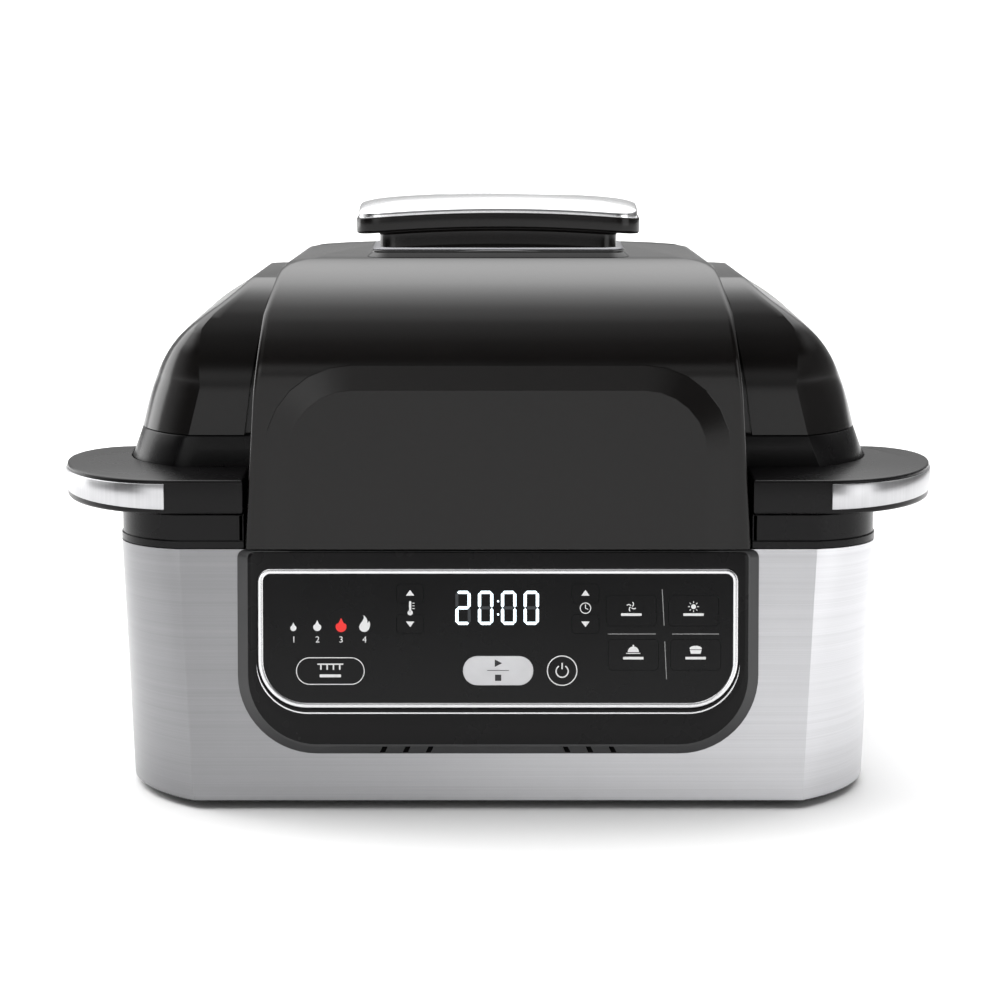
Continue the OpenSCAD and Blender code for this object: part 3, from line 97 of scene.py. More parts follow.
def spline(points, count):
    """Smooth curve through a few points, with the same number of steps in each span."""
    full = [points[0]] + points + [points[-1]]
    out = []
    for before, start, end, after in zip(full, full[1:], full[2:], full[3:]):
        for t in (k / count for k in range(count)):
            out.append(tuple(
                0.5 * (2 * b + (c - a) * t + (2 * a - 5 * b + 4 * c - d) * t ** 2
                       + (3 * b - a - 3 * c + d) * t ** 3)
                for a, b, c, d in zip(before, start, end, after)))
    return out + [points[-1]]


def value_at(table, x):
    """Value at x on a table of (x, value) pairs, in straight lines between them."""
    if x <= table[0][0]:
        return table[0][1]
    for (x0, v0), (x1, v1) in zip(table, table[1:]):
        if x <= x1:
            return mix(v0, v1, (x - x0) / (x1 - x0))
    return table[-1][1]


def rounded_profile(z0, z1, low, high, steps=4):
    """(inset, z) up the side of a slab whose two edges are round, with radii low and high."""
    turns = [radians(90 * i / steps) for i in range(steps + 1)]
    return ([(low * (1 - sin(t)), z0 + low * (1 - cos(t))) for t in turns]
            + [(high * (1 - cos(t)), z1 - high * (1 - sin(t))) for t in turns])


# ---- meshes ----

def add(name, data):
    """New object in the scene."""
    obj = bpy.data.objects.new(name, data)
    bpy.context.scene.collection.objects.link(obj)
    return obj


def mesh_object(name, verts, faces, place=None):
    """Object from points in millimetres; place maps them into the model's frame first."""
    points = [Vector(v) * MM for v in verts]
    if place:
        points = [place @ p for p in points]
    mesh = bpy.data.meshes.new(name)
    mesh.from_pydata(points, [], faces)
    mesh.validate()
    return add(name, mesh)


def tidy(obj, weld=1e-6):
    """Joins doubled points and turns all faces outward."""
    bm = bmesh.new()
    bm.from_mesh(obj.data)
    bmesh.ops.remove_doubles(bm, verts=bm.verts, dist=weld)
    bmesh.ops.dissolve_degenerate(bm, edges=bm.edges, dist=weld)
    bmesh.ops.recalc_face_normals(bm, faces=bm.faces)
    bm.to_mesh(obj.data)
    bm.free()
    return obj


def shade(obj, angle):
    """Smooth shading with sharp edges where faces meet at more than angle degrees."""
    bm = bmesh.new()
    bm.from_mesh(obj.data)
    for face in bm.faces:
        face.smooth = True
    for edge in bm.edges:
        edge.smooth = (len(edge.link_faces) == 2
                       and edge.calc_face_angle(pi) < radians(angle))
    bm.to_mesh(obj.data)
    bm.free()
    return obj


def loft(name, loops, closed=True, caps=False, place=None):
    """Skin over loops of equal length, each a list of (x, y, z)."""
    n = len(loops[0])
    faces = []
    for i in range(len(loops) - 1):
        for j in range(n if closed else n - 1):
            k = (j + 1) % n
            faces.append((i * n + j, i * n + k, (i + 1) * n + k, (i + 1) * n + j))
    if caps:
        last = (len(loops) - 1) * n
        faces += [tuple(reversed(range(n))), tuple(range(last, last + n))]
    return tidy(mesh_object(name, [p for loop in loops for p in loop], faces, place))


def hoop(name, loops, place=None):
    """Closed ring: the loops run once round its section."""
    return loft(name, loops + loops[:1], place=place)


def prism(name, outline, z0, z1, place=None):
    """Straight solid over an outline of (x, y)."""
    return loft(name, [raised(outline, z) for z in (z0, z1)], caps=True, place=place)


def profiled(name, outline_at, profile, warp=lambda x, y: 0, place=None):
    """Solid through loops: each (inset, z) of the profile takes its outline at that inset.
    warp(x, y) lifts the points, so that a flat slab turns into an arched one."""
    loops = [[(x, y, z + warp(x, y)) for x, y in outline_at(inset)] for inset, z in profile]
    return loft(name, loops, caps=True, place=place)


def modified(obj, kind, **settings):
    """Puts one modifier's result in the place of the object's mesh."""
    mod = obj.modifiers.new("shape", kind)
    for key, value in settings.items():
        setattr(mod, key, value)
    graph = bpy.context.evaluated_depsgraph_get()
    made = bpy.data.meshes.new_from_object(obj.evaluated_get(graph))
    obj.modifiers.clear()
    obj.data = made
    return obj


def bevel(obj, width):
    return modified(obj, "BEVEL", width=width * MM, segments=2, limit_method="ANGLE",
                    angle_limit=radians(35), use_clamp_overlap=True)


def cut(obj, *cutters):
    """Takes the cutters' solids out of the object."""
    for cutter in cutters:
        modified(obj, "BOOLEAN", operation="DIFFERENCE", solver="EXACT", object=cutter)
        bpy.data.objects.remove(cutter)
    return obj


def join(name, objects):
    """One object from several, keeping their materials."""
    main = objects[0]
    with bpy.context.temp_override(active_object=main, selected_editable_objects=objects):
        bpy.ops.object.join()
    main.name = main.data.name = name
    return main


def mirrored(obj):
    """Turns a piece of the right side into the left one's."""
    obj.data.transform(Matrix.Scale(-1, 4, (1, 0, 0)))
    obj.data.flip_normals()
    return obj


def standing(y=0):
    """Place of an outline in X and Z that is extruded forward from y."""
    return Matrix.Translation(Vector((0, y, 0)) * MM) @ Matrix.Rotation(pi / 2, 4, "X")


# ---- materials ----

class Graph:
    """Nodes of a material or a world. A value given as a (node, output) pair becomes a link."""

    def __init__(self, owner, shader="Principled BSDF"):
        owner.use_nodes = True
        self.tree = owner.node_tree
        self.shader = self.tree.nodes[shader]

    def feed(self, socket, value):
        if isinstance(value, tuple) and hasattr(value[0], "outputs"):
            self.tree.links.new(value[0].outputs[value[1]], socket)
        else:
            socket.default_value = value

    def set(self, node, **inputs):
        for key, value in inputs.items():
            self.feed(node.inputs[key.replace("_", " ")], value)
        return node

    def node(self, kind, settings=None, **inputs):
        made = self.tree.nodes.new("ShaderNode" + kind)
        for key, value in (settings or {}).items():
            setattr(made, key, value)
        return self.set(made, **inputs)

    def place(self, scale=(1, 1, 1), turn=(0, 0, 0)):
        """The model's own coordinates, in metres, stretched by scale."""
        source = self.node("TexCoord")
        return self.node("Mapping", Vector=(source, "Object"), Scale=scale, Rotation=turn), "Vector"

    def noise(self, vector, scale, detail=3, rough=0.5):
        return self.node("TexNoise", Vector=vector, Scale=scale, Detail=detail,
                         Roughness=rough), "Fac"

    def ramp(self, factor, *stops):
        """Colour ramp: each stop is (position, grey or colour)."""
        made = self.node("ValToRGB", Fac=factor)
        points = made.color_ramp.elements
        while len(points) < len(stops):
            points.new(0.5)
        for point, (position, colour) in zip(points, stops):
            point.position = position
            point.color = colour if isinstance(colour, tuple) else (colour,) * 3 + (1,)
        return made, "Color"

    def span(self, factor, low, high):
        """A number that runs from low to high as factor runs from 0 to 1."""
        return self.node("MapRange", Value=factor, To_Min=low, To_Max=high), "Result"

    def step(self, value, low, high):
        """0 below low and 1 above high, with a soft change between."""
        return self.node("MapRange", {"interpolation_type": "SMOOTHSTEP"}, Value=value,
                         From_Min=low, From_Max=high), "Result"

    def mix(self, factor, a, b, blend="MIX"):
        made = self.node("Mix", {"data_type": "RGBA", "blend_type": blend}, Factor=factor)
        for socket, value in zip([s for s in made.inputs if s.type == "RGBA"], (a, b)):
            self.feed(socket, value)
        return made, 2

    def math(self, operation, a, b):
        made = self.node("Math", {"operation": operation})
        for socket, value in zip(made.inputs, (a, b)):
            self.feed(socket, value)
        return made, 0

    def bump(self, height, depth, edge=0.0):
        """Bump of a real depth in metres; edge is the radius that hard edges seem to have."""
        made = self.node("Bump", Height=height, Distance=depth, Strength=1.0)
        if edge:
            self.set(made, Normal=(self.node("Bevel", {"samples": 4}, Radius=edge), "Normal"))
        return made, "Normal"

    def finish(self, **inputs):
        self.set(self.shader, **inputs)


M = {}


def material(name):
    """Graph of a new material, which M holds under its name."""
    M[name] = bpy.data.materials.new(name)
    return Graph(M[name])


def toned(colour, factor=1.0):
    """The colour, darker or lighter, as a shader wants it."""
    return tuple(min(c * factor, 1) for c in colour) + (1,)


def plastic(name, colour, roughness, grain=1800, depth=2e-5, spread=0.06, specular=0.5,
            edge=0.0):
    """Moulded plastic: fine grain, slow changes in sheen and faint smudges."""
    g = material(name)
    here = g.place()
    slow = g.noise(here, 22, 4, 0.6)
    g.finish(Base_Color=g.ramp(slow, (0.3, toned(colour, 0.86)), (0.7, toned(colour, 1.14))),
             Roughness=g.span(slow, roughness - spread, roughness + spread),
             Normal=g.bump(g.noise(here, grain, 2, 0.5), depth, edge),
             Coat_Roughness=0.04, Specular_IOR_Level=specular)


def brushed(name, colour, roughness, stretch, contrast=0.09, depth=1.2e-5, edge=0.0, painted_side_shade=None):
    """Metal with brush marks along the axes in which stretch is small. The last argument paints
    shade from one side to the other: how bright the metal is at the left and at the right, in
    shares of its colour, and half the width between them."""
    g = material(name)
    marks = g.noise(g.place(scale=stretch), 1.0, 5, 0.68)
    broad = g.noise(g.place(scale=tuple(s * 0.12 for s in stretch)), 1.0, 3, 0.6)
    cloud = g.noise(g.place(), 9, 3, 0.5)
    low, high = toned(colour, 1 - contrast), toned(colour, 1 + contrast)
    tone = g.ramp(marks, (0.32, low), (0.68, high))
    tone = g.mix(0.35, tone, g.ramp(broad, (0.35, low), (0.65, high)))
    tone = g.mix(0.25, tone, g.ramp(cloud, (0.3, low), (0.7, high)))
    # painted shade: the colour is scaled across the object from left to right, darker on the left
    if painted_side_shade:
        left, right, half = painted_side_shade
        across = g.step((g.node("SeparateXYZ", Vector=g.place()), "X"), -half, half)
        tone = g.mix(1.0, tone, g.ramp(across, (0.0, left), (1.0, right)), "MULTIPLY")
    g.finish(Base_Color=tone, Metallic=1.0, Normal=g.bump(marks, depth, edge),
             Roughness=g.span(marks, roughness - 0.07, roughness + 0.09))


def speckled(name, colour, fleck, roughness, amount, depth=3e-5):
    """Coated or cast surface: a ground colour, small flecks and a slightly lumpy skin."""
    g = material(name)
    here = g.place()
    dots = g.node("TexVoronoi", {"feature": "F1"}, Vector=here, Scale=2600), "Distance"
    tone = g.mix(g.ramp(dots, (0.0, 1.0), (amount, 0.0)), toned(colour), toned(fleck))
    stain = g.noise(here, 14, 5, 0.6)
    g.finish(Base_Color=g.mix(g.span(stain, 0.0, 0.35), tone, toned(colour, 0.6)),
             Roughness=g.span(stain, roughness - 0.08, roughness + 0.12),
             Normal=g.bump(g.noise(here, 420, 4, 0.6), depth, 0.0006))


def printed(name, colour, roughness=0.5, glow=0.0):
    """Ink or a lit mark: almost even, with the faint mottle of a print."""
    g = material(name)
    mottle = g.noise(g.place(), 3500, 2, 0.5)
    tone = g.ramp(mottle, (0.2, toned(colour, 0.9)), (0.8, toned(colour)))
    g.finish(Base_Color=tone, Roughness=g.span(mottle, roughness - 0.05, roughness + 0.05))
    if glow:
        g.finish(Emission_Color=tone, Emission_Strength=glow)


def circuit_board():
    g = material("circuit_board")
    tracks = g.node("TexBrick", Vector=g.place(turn=(pi / 2, 0, 0)), Scale=90,
                    Mortar_Size=0.08, Color1=(0.012, 0.11, 0.05, 1), Color2=(0.014, 0.13, 0.06, 1),
                    Mortar=(0.05, 0.3, 0.13, 1)), "Color"
    cloud = g.noise(g.place(), 60, 3)
    g.finish(Base_Color=g.mix(g.span(cloud, 0, 0.4), tracks, (0.01, 0.08, 0.04, 1)),
             Roughness=g.span(cloud, 0.25, 0.45), Normal=g.bump(cloud, 5e-5))


def oxidised():
    """Heating tube: dark oxide with straw and blue heat tints."""
    g = material("element_sheath")
    heat = g.noise(g.place(), 35, 4, 0.6)
    tone = g.ramp(heat, (0.25, (0.035, 0.032, 0.03, 1)), (0.5, (0.075, 0.06, 0.045, 1)),
                  (0.75, (0.04, 0.045, 0.06, 1)))
    g.finish(Base_Color=tone, Metallic=0.7, Roughness=g.span(heat, 0.4, 0.62),
             Normal=g.bump(g.noise(g.place(), 1500, 3), 3e-5))


plastic("gloss_black", (0.0042, 0.0036, 0.0034), 0.17, 900, 4e-6, 0.03, specular=0.24)
plastic("satin_black", (0.0045, 0.0042, 0.0045), 0.27, 2600, 1.2e-5, 0.05, specular=0.14,
        edge=0.0005)
# painted shade: a darker, duller black for the sheets that close the air slots
plastic("painted_slot_shade", (0.002, 0.002, 0.002), 0.7, specular=0.05)
# painted light: a grey copy of the satin black for the bezel's outer band, which catches the
# floor's light
plastic("painted_lit_band", (0.035, 0.035, 0.036), 0.36, 2600, 1.2e-5, 0.05)
plastic("matte_black", (0.014, 0.014, 0.015), 0.5, 2200, 3e-5, edge=0.0006)
plastic("rubber", (0.016, 0.016, 0.016), 0.72, 1400, 5e-5)
plastic("silicone", (0.05, 0.05, 0.052), 0.6, 900)
plastic("display_dark", (0.004, 0.004, 0.005), 0.12, depth=2e-6, spread=0.02)
plastic("key_black", (0.006, 0.006, 0.006), 0.2, 2400, 6e-6, 0.03)
plastic("key_silver", (0.62, 0.62, 0.635), 0.3, 3000, 8e-6, 0.04)
plastic("panel_face", (0.0042, 0.0042, 0.0045), 0.12, 900, 2e-6, 0.02, specular=0.16)
# painted shade: the steel's colour runs from 0.45 of itself at the left to full at the right
brushed("brushed_steel", (0.53, 0.53, 0.545), 0.3, (5, 5, 2600), 0.13, painted_side_shade=(0.45, 1.0, 0.17))
brushed("bright_trim", (0.66, 0.66, 0.67), 0.22, (10, 10, 3200), 0.07, edge=0.0002)
brushed("strip_metal", (0.45, 0.45, 0.46), 0.3, (900, 900, 12), 0.12, edge=0.0002)
brushed("silver_cap", (0.78, 0.78, 0.79), 0.2, (8, 2600, 8), 0.04, 4e-6)
brushed("stamped_steel", (0.5, 0.5, 0.51), 0.35, (60, 900, 60), 0.08, edge=0.0004)
brushed("aluminised_steel", (0.46, 0.46, 0.465), 0.38, (30, 500, 30), 0.06, edge=0.0005)
brushed("screw_steel", (0.55, 0.55, 0.56), 0.32, (300, 300, 300), edge=0.0003)
brushed("pin_steel", (0.72, 0.72, 0.73), 0.16, (900, 60, 60), 0.04, edge=0.0003)
brushed("motor_metal", (0.16, 0.16, 0.17), 0.45, (20, 20, 2000), edge=0.0005)
speckled("ceramic_coat", (0.022, 0.021, 0.02), (0.16, 0.155, 0.15), 0.36, 0.14)
speckled("cast_grill", (0.024, 0.023, 0.022), (0.1, 0.1, 0.095), 0.42, 0.1, 8e-5)
printed("white_print", (0.82, 0.82, 0.82))
printed("grey_print", (0.3, 0.3, 0.3))
printed("dark_print", (0.012, 0.012, 0.014))
printed("red_print", (0.75, 0.02, 0.015), glow=0.25)
printed("lit_digit", (0.80, 0.93, 1.0), glow=1.6)
printed("ghost_digit", (0.018, 0.022, 0.026), 0.3)
circuit_board()
oxidised()


def place_piece(obj, body, slot, *nodes, material=None, smooth=None):
    """Gives a finished piece its shading, its material (the slot's unless another is named) and its
    body, and hides the nodes it stands for. Faces that meet at less than smooth degrees are shaded
    as one."""
    if smooth:
        shade(obj, smooth)
    dress(obj, material or slot)
    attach(obj, body)
    if nodes:
        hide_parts(*nodes)
    return obj


def dress(obj, name):
    obj.data.materials.clear()
    obj.data.materials.append(M[name])


def dress_cad_nodes():
    """Finishes for the pieces that stay as CAD solids, with softened edges."""
    for part in frame["record"]["subparts"]:
        node = NODES[part["node"]]
        dress(node, part["material_slot"])
        edge = node.modifiers.new("edge", "BEVEL")
        edge.width, edge.segments, edge.limit_method = 0.35 * MM, 2, "ANGLE"
        edge.angle_limit = radians(40)
        edge.harden_normals = True


# ---- sizes shared with the CAD model, in millimetres ----

def low(node, axis):
    """Where a node's box begins on one axis, in millimetres."""
    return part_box(node)[0]["XYZ".index(axis)] / MM


def high(node, axis):
    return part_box(node)[1]["XYZ".index(axis)] / MM


WRAP_LOW, WRAP_TOP = low("steel_wrap", "Z"), high("steel_wrap", "Z")
WRAP_REAR = high("steel_wrap", "Y")
BODY_HALF = high("steel_wrap", "X")
BODY_FRONT_TOP, BODY_FRONT_LOW = 157.0, 168.0
REAR_R = 45.0
HANDLE_LOW, HANDLE_TOP = low("left_handle", "Z"), high("left_handle", "Z")
DECK_Z = high("upper_collar", "Z")
LID_LINE, LID_REAR = low("lid_shell", "Z"), high("lid_shell", "Y")
COOK_Y = (high("cooking_pot", "Y") + low("cooking_pot", "Y")) / 2
COLLAR_FRONT = 112.0
NOTCH_HALF = 121.8
CHANNEL_DEPTH = 6.0
CHANNEL_GAP_LOW, CHANNEL_GAP_TOP = 6.3, 1.3
COVER_FRONT = 160.0
COVER_LOW, COVER_TOP = low("lid_cover", "Z"), high("lid_cover", "Z")
# Plans: half width, where the front corner's crease is, front, and how far the corner turns
BODY_FOOT_PLAN = (181.5, 146.4, BODY_FRONT_LOW, 38.0)
BODY_TOP_PLAN = (BODY_HALF, 152.7, BODY_FRONT_TOP, 10.0)
COLLAR_FOOT_PLAN = (BODY_HALF, 157.7, COLLAR_FRONT, 30.0)
COLLAR_TOP_PLAN = (high("lid_shell", "X"), 151.6, COLLAR_FRONT, 30.0)


def creased_half(plan, inset=0.0):
    """Right half of a plan with a creased front corner and a round rear one."""
    half_w, crease, front, turn = plan
    r = (half_w - crease) / (1 - sin(radians(turn)))
    along = r * cos(radians(turn))
    r_in = r - inset
    start = -degrees(asin((along - inset) / r_in))
    return (arc(half_w - r, -front + along, r_in, start, 0, 14)
            + arc(half_w - REAR_R, WRAP_REAR - REAR_R, REAR_R - inset, 0, 90, 12))


def body_half(z, inset=0.0):
    u = (z - WRAP_LOW) / (WRAP_TOP - WRAP_LOW)
    return [(mix(a, c, u), mix(b, d, u)) for (a, b), (c, d) in
            zip(creased_half(BODY_FOOT_PLAN, inset), creased_half(BODY_TOP_PLAN, inset))]


def collar_half(z, inset=0.0):
    u = min(max((z - HANDLE_TOP) / (DECK_Z - HANDLE_TOP), 0), 1)
    return creased_half([mix(a, b, u) for a, b in zip(COLLAR_FOOT_PLAN, COLLAR_TOP_PLAN)], inset)


# The control panel leans back with the metal front: x to the right, y up its face, z out of it
PANEL_LOW = 26.6
PANEL_TILT = atan2(BODY_FRONT_LOW - BODY_FRONT_TOP, WRAP_TOP - WRAP_LOW)
PANEL_H = (WRAP_TOP - PANEL_LOW) / cos(PANEL_TILT)
PANEL_FRONT = BODY_FRONT_LOW - (PANEL_LOW - WRAP_LOW) * tan(PANEL_TILT)
PANEL = (Matrix.Translation(Vector((0, -PANEL_FRONT, PANEL_LOW)) * MM)
         @ Matrix.Rotation(pi / 2 - PANEL_TILT, 4, "X"))

# ---- base ----

WALL = 2.5
STEEL_T = 1.0
SKIRT_INSET = 10.0
BEZEL_HALF = 124.8
BEZEL_R = 38.0
REAR_SLOT_HALF, REAR_SLOT_LOW, REAR_SLOT_HIGH = 3, 60, 100
REAR_SLOTS, REAR_SLOT_CUT = range(-64, 65, 16), (-170, -140)
BAND_TOP = 128.7
BAND_STEP = 0.6                             # the wall above the band stands back by this
SHELF_Z = HANDLE_LOW - 0.3
RECESS_X, RECESS_Y, RECESS_R = 131.0, 118.8, 37.5
WELL_X, WELL_Y, WELL_R = 126.3, 114.3, 33.0
LEDGE_Z = DECK_Z - 3.0
RAY_STEP = 7


def skirt_outline(grow):
    return rounded_box(BEZEL_HALF - SKIRT_INSET + grow, SKIRT_INSET - grow, PANEL_H - 3 + grow,
                       BEZEL_R - SKIRT_INSET + grow, 3 + grow)


def steel_wrap():
    levels = [mix(WRAP_LOW, WRAP_TOP, i / 10) for i in range(11)]
    outer = [raised(both_sides(body_half(z)), z) for z in levels]
    inner = [raised(both_sides(body_half(z, STEEL_T)), z) for z in reversed(levels)]
    wrap = hoop("steel_wrap_skin", outer + inner)
    cut(wrap, prism("opening", skirt_outline(0.6), -30, 30, PANEL))
    outline = [(-REAR_SLOT_HALF, REAR_SLOT_LOW), (REAR_SLOT_HALF, REAR_SLOT_LOW),
               (REAR_SLOT_HALF, REAR_SLOT_HIGH), (-REAR_SLOT_HALF, REAR_SLOT_HIGH)]
    slots = [prism("slot", moved(outline, x, 0), *REAR_SLOT_CUT, standing()) for x in REAR_SLOTS]
    cut(wrap, join("slots", slots))
    place_piece(wrap, "root", "brushed_steel", "steel_wrap", smooth=8)


def box_piece(name, x0, x1, y0, y1, z0, z1, round_edge=0.5):
    return bevel(prism(name, [(x0, y0), (x1, y0), (x1, y1), (x0, y1)], z0, z1), round_edge)


def dense(loop, step):
    """The closed outline with no stretch longer than step."""
    return [point for p, q in zip(loop, loop[1:] + loop[:1])
            for point in line(p, q, max(1, ceil(dist(p, q) / step)))]


def ray_to_box(x, y, half_x, half_y, r):
    """Where the ray from the cooking centre through (x, y) meets a rounded box."""
    dx, dy = x, y - COOK_Y
    near, far = 0.0, 4.0
    for _ in range(40):
        k = (near + far) / 2
        px, py = abs(dx * k) - (half_x - r), abs(dy * k) - (half_y - r)
        outside = hypot(max(px, 0), max(py, 0)) + min(max(px, py), 0) - r
        near, far = (k, far) if outside < 0 else (near, k)
    return dx * near, COOK_Y + dy * near


def collar_band():
    """Band and lower wall, open in front where the centre cover dips."""
    strip = []
    for inset, z in [(WALL, WRAP_TOP + 0.3), (0.3, WRAP_TOP + 0.3), (0, WRAP_TOP + 0.6),
                     (0, BAND_TOP - 0.5), (BAND_STEP, BAND_TOP), (BAND_STEP, SHELF_Z - 0.4),
                     (BAND_STEP + 0.4, SHELF_Z)]:
        half = body_half(WRAP_TOP, inset)
        strip.append(raised(both_sides([(NOTCH_HALF, half[0][1])] + half), z))
    shelf = [(x - 0.2, max(y, -COLLAR_FRONT)) for x, y in body_half(WRAP_TOP, WALL)]
    strip.append(raised(both_sides([(NOTCH_HALF, -COLLAR_FRONT)] + shelf), SHELF_Z))
    return loft("band", strip, closed=False)


def collar_deck():
    """Upper wall and deck. Every loop follows the same rays from the middle of the well."""
    count = len(dense(both_sides(collar_half(SHELF_Z)), RAY_STEP))
    loops = []
    for z, inset in [(SHELF_Z - 1, BAND_STEP), (HANDLE_TOP, BAND_STEP * 0.5),
                     (mix(HANDLE_TOP, DECK_Z, 0.5), 0.2), (DECK_Z - 0.9, 0.1),
                     (DECK_Z - 0.3, 0.3), (DECK_Z, 0.9)]:
        loop = dense(both_sides(collar_half(z, inset)), RAY_STEP)
        spacing = len(loop) / count
        loops.append(raised([loop[int(i * spacing)] for i in range(count)], z))
    rim = loops[-1]
    for half_x, half_y, r, z in [(RECESS_X + 0.8, RECESS_Y + 0.8, RECESS_R + 0.8, DECK_Z),
                                 (RECESS_X, RECESS_Y, RECESS_R, DECK_Z - 0.6),
                                 (RECESS_X, RECESS_Y, RECESS_R, LEDGE_Z),
                                 (WELL_X, WELL_Y, WELL_R, LEDGE_Z),
                                 (WELL_X, WELL_Y, WELL_R, LEDGE_Z - WALL)]:
        loops.append([ray_to_box(x, y, half_x, half_y, r) + (z,) for x, y, _ in rim])
    return loft("deck", loops)


def collar():
    """Band over the metal, shelf under the handles, upper walls and the deck round the well."""
    floor_z = WRAP_TOP - 0.4                # of the dip in front
    parts = [collar_band(), collar_deck(),
             box_piece("dip_floor", -NOTCH_HALF, NOTCH_HALF, -BODY_FRONT_TOP + 4.6,
                       -COLLAR_FRONT, floor_z - WALL, floor_z),
             box_piece("dip_wall", -NOTCH_HALF, NOTCH_HALF, -COLLAR_FRONT,
                       -COLLAR_FRONT + WALL, floor_z - WALL, SHELF_Z)]
    for x in (-NOTCH_HALF - WALL, NOTCH_HALF):
        parts.append(box_piece("dip_side", x, x + WALL, -BODY_FRONT_TOP + 0.6,
                               -COLLAR_FRONT + WALL, floor_z - WALL, SHELF_Z))
    place_piece(join("collar_moulding", parts), "root", "satin_black", "upper_collar", smooth=25)


# ---- side handles: front edge, an oval round the tip, and an oval back to the body ----

HANDLE_FRONT = BODY_FRONT_TOP + 1
HANDLE_STRAIGHT_X, HANDLE_BEND_X = 135, 157.0
HANDLE_TIP_X, HANDLE_TIP_Y = high("right_handle", "X"), 82.0
HANDLE_BACK_X, HANDLE_BACK_B = 185.0, 42.0
HANDLE_WALL_Y, HANDLE_HEEL_Y = -45, -50     # where the handle leaves the collar's wall
HANDLE_GAP = 0.3
STRIP_END_Y = -54.0
STRIP_T = high("right_handle_strip", "X") - HANDLE_TIP_X
STRIP_LOW, STRIP_HIGH = (143.9, 145.4), (156.2, 155.4)      # in front and at the end


def handle_rim(inset):
    """Outer edge of the right handle, from the cover's side round the tip to the body."""
    front, tip = HANDLE_FRONT - inset, HANDLE_TIP_X - inset
    return ([(NOTCH_HALF + HANDLE_GAP + inset, -front)]
            + line((HANDLE_STRAIGHT_X, -front), (HANDLE_BEND_X, -front), 3)
            + oval(HANDLE_BEND_X, -HANDLE_TIP_Y, tip - HANDLE_BEND_X, front - HANDLE_TIP_Y,
                   -90, 0, 36)
            + oval(HANDLE_BACK_X, -HANDLE_TIP_Y, tip - HANDLE_BACK_X, HANDLE_BACK_B - inset,
                   5, 90, 22))


def handle_outline(inset):
    """The handle's outline: its rim, and the collar's wall on the inside."""
    wall = [p for p in creased_half(COLLAR_FOOT_PLAN, -HANDLE_GAP) if p[1] < HANDLE_WALL_Y]
    side_x = BODY_HALF + HANDLE_GAP
    return (handle_rim(inset) + [(side_x + inset, -HANDLE_TIP_Y + HANDLE_BACK_B - inset),
                                 (side_x + inset * 0.3, HANDLE_HEEL_Y)] + wall[::-1]
            + [(NOTCH_HALF + HANDLE_GAP + inset, -COLLAR_FRONT - HANDLE_GAP)])


def direction(points, i):
    """Which way a line of points runs at one of them."""
    return Vector(points[min(i + 1, len(points) - 1)]) - Vector(points[max(i - 1, 0)])


def handle_strip(name):
    """Metal strip round the right handle's edge, lower towards its end."""
    rim = [p for p in handle_rim(0)
           if (p[0] > HANDLE_BEND_X or p[1] > -HANDLE_TIP_Y) and p[1] < STRIP_END_Y]
    loops = []
    for i, (x, y) in enumerate(rim):
        u = i / (len(rim) - 1)
        ahead = direction(rim, i)
        out = Vector((ahead.y, -ahead.x)).normalized()
        z0 = mix(*STRIP_LOW, min(u * 1.6, 1))
        z1 = mix(z0 + 3, mix(*STRIP_HIGH, min(u * 1.3, 1)), min(1, (1 - u) * 6))
        section = [(-0.8, z0), (STRIP_T - 0.3, z0), (STRIP_T, z0 + 0.4), (STRIP_T, z1 - 0.4),
                   (STRIP_T - 0.3, z1), (-0.8, z1)]
        loops.append([(x + out.x * d, y + out.y * d, z) for d, z in section])
    return loft(name, loops, caps=True)


def side_handles():
    for name in ("right", "left"):
        wing = profiled(name + "_wing", handle_outline,
                        rounded_profile(HANDLE_LOW, HANDLE_TOP, 1.6, 1.2))
        strip = handle_strip(name + "_strip_metal")
        if name == "left":
            mirrored(wing)
            mirrored(strip)
        place_piece(wing, "root", "satin_black", name + "_handle", smooth=32)
        place_piece(strip, "root", "bright_trim", name + "_handle_strip", material="strip_metal",
                    smooth=40)


# ---- lid ----

SHOULDER_FRONT = 112.0
SHOULDER_KNEE, SHOULDER_TOP = 194.0, high("lid_shell", "Z")
SHOULDER_CREASE = (-70.0, SHOULDER_TOP)
COVER_KNEE = 207.0
COVER_CREASE = (-90.0, COVER_TOP)
COVER_CREST = COVER_TOP + 2.5               # its section across, before the top is cut flat
REAR_CREASE_Y, REAR_KNEE = 84.0, 216.0
LID_FALL = 6.0                              # how much lower the top is at the rear crease
COVER_FALL, SHOULDER_FALL = 1.8 * LID_FALL, 1.4 * LID_FALL
BEND_STOP = radians(81)                # short of level, so that the front crease shows
FIT = 0.5                                   # between the cover and its channel
COVER_T = 2.2
COVER_EDGE_R = 2.6
CHANNEL_INNER_X = 106                       # the channel's floor runs in under the cover
# Half width of the cover by height, with the round shoulders of its top
COVER_SIDE = [(125, 121), (200, 116.5), (236, 112.1), (251, 107.4), (254.4, 105.8),
              (256.6, 102.8), (257.8, 98.5), (259.0, 85.2), (260.2, 63), (260.8, 30), (261, 2)]
# The same of the shoulders, and where the crease of their front corner is
SHOULDER_SIDE = spline([(173.5, 178.1), (189.8, 173.9), (205.7, 167.4), (218.2, 158.9),
                        (227.1, 149.2), (235.8, 136.9), (242.5, 128.2), (247, 122.8)], 6)
SHOULDER_CORNER = [(173.4, 151.6), (197, 145.7), (214.5, 146.6), (225.3, 145.2), (232, 139.0),
                   (240, 128.6), (247, 120.6)]
ARM_X0, ARM_X1, ARM_MARGIN = 88, 94, 1      # where the hinge arms pass
VENT_HALF, VENT_LOW, VENT_HIGH = 52.0, 186.0, 216.0
BOSS_HALF, BOSS_TOP, BOSS_H = 111.3, 213.6, 2.2
BOSS_BEVEL, BOSS_R = 12.0, 42.0


def fall_at(y, crease_y, fall):
    """How far the top has come down at y, from nothing at the front crease."""
    return max(y - crease_y, 0) / (LID_REAR - crease_y) * fall


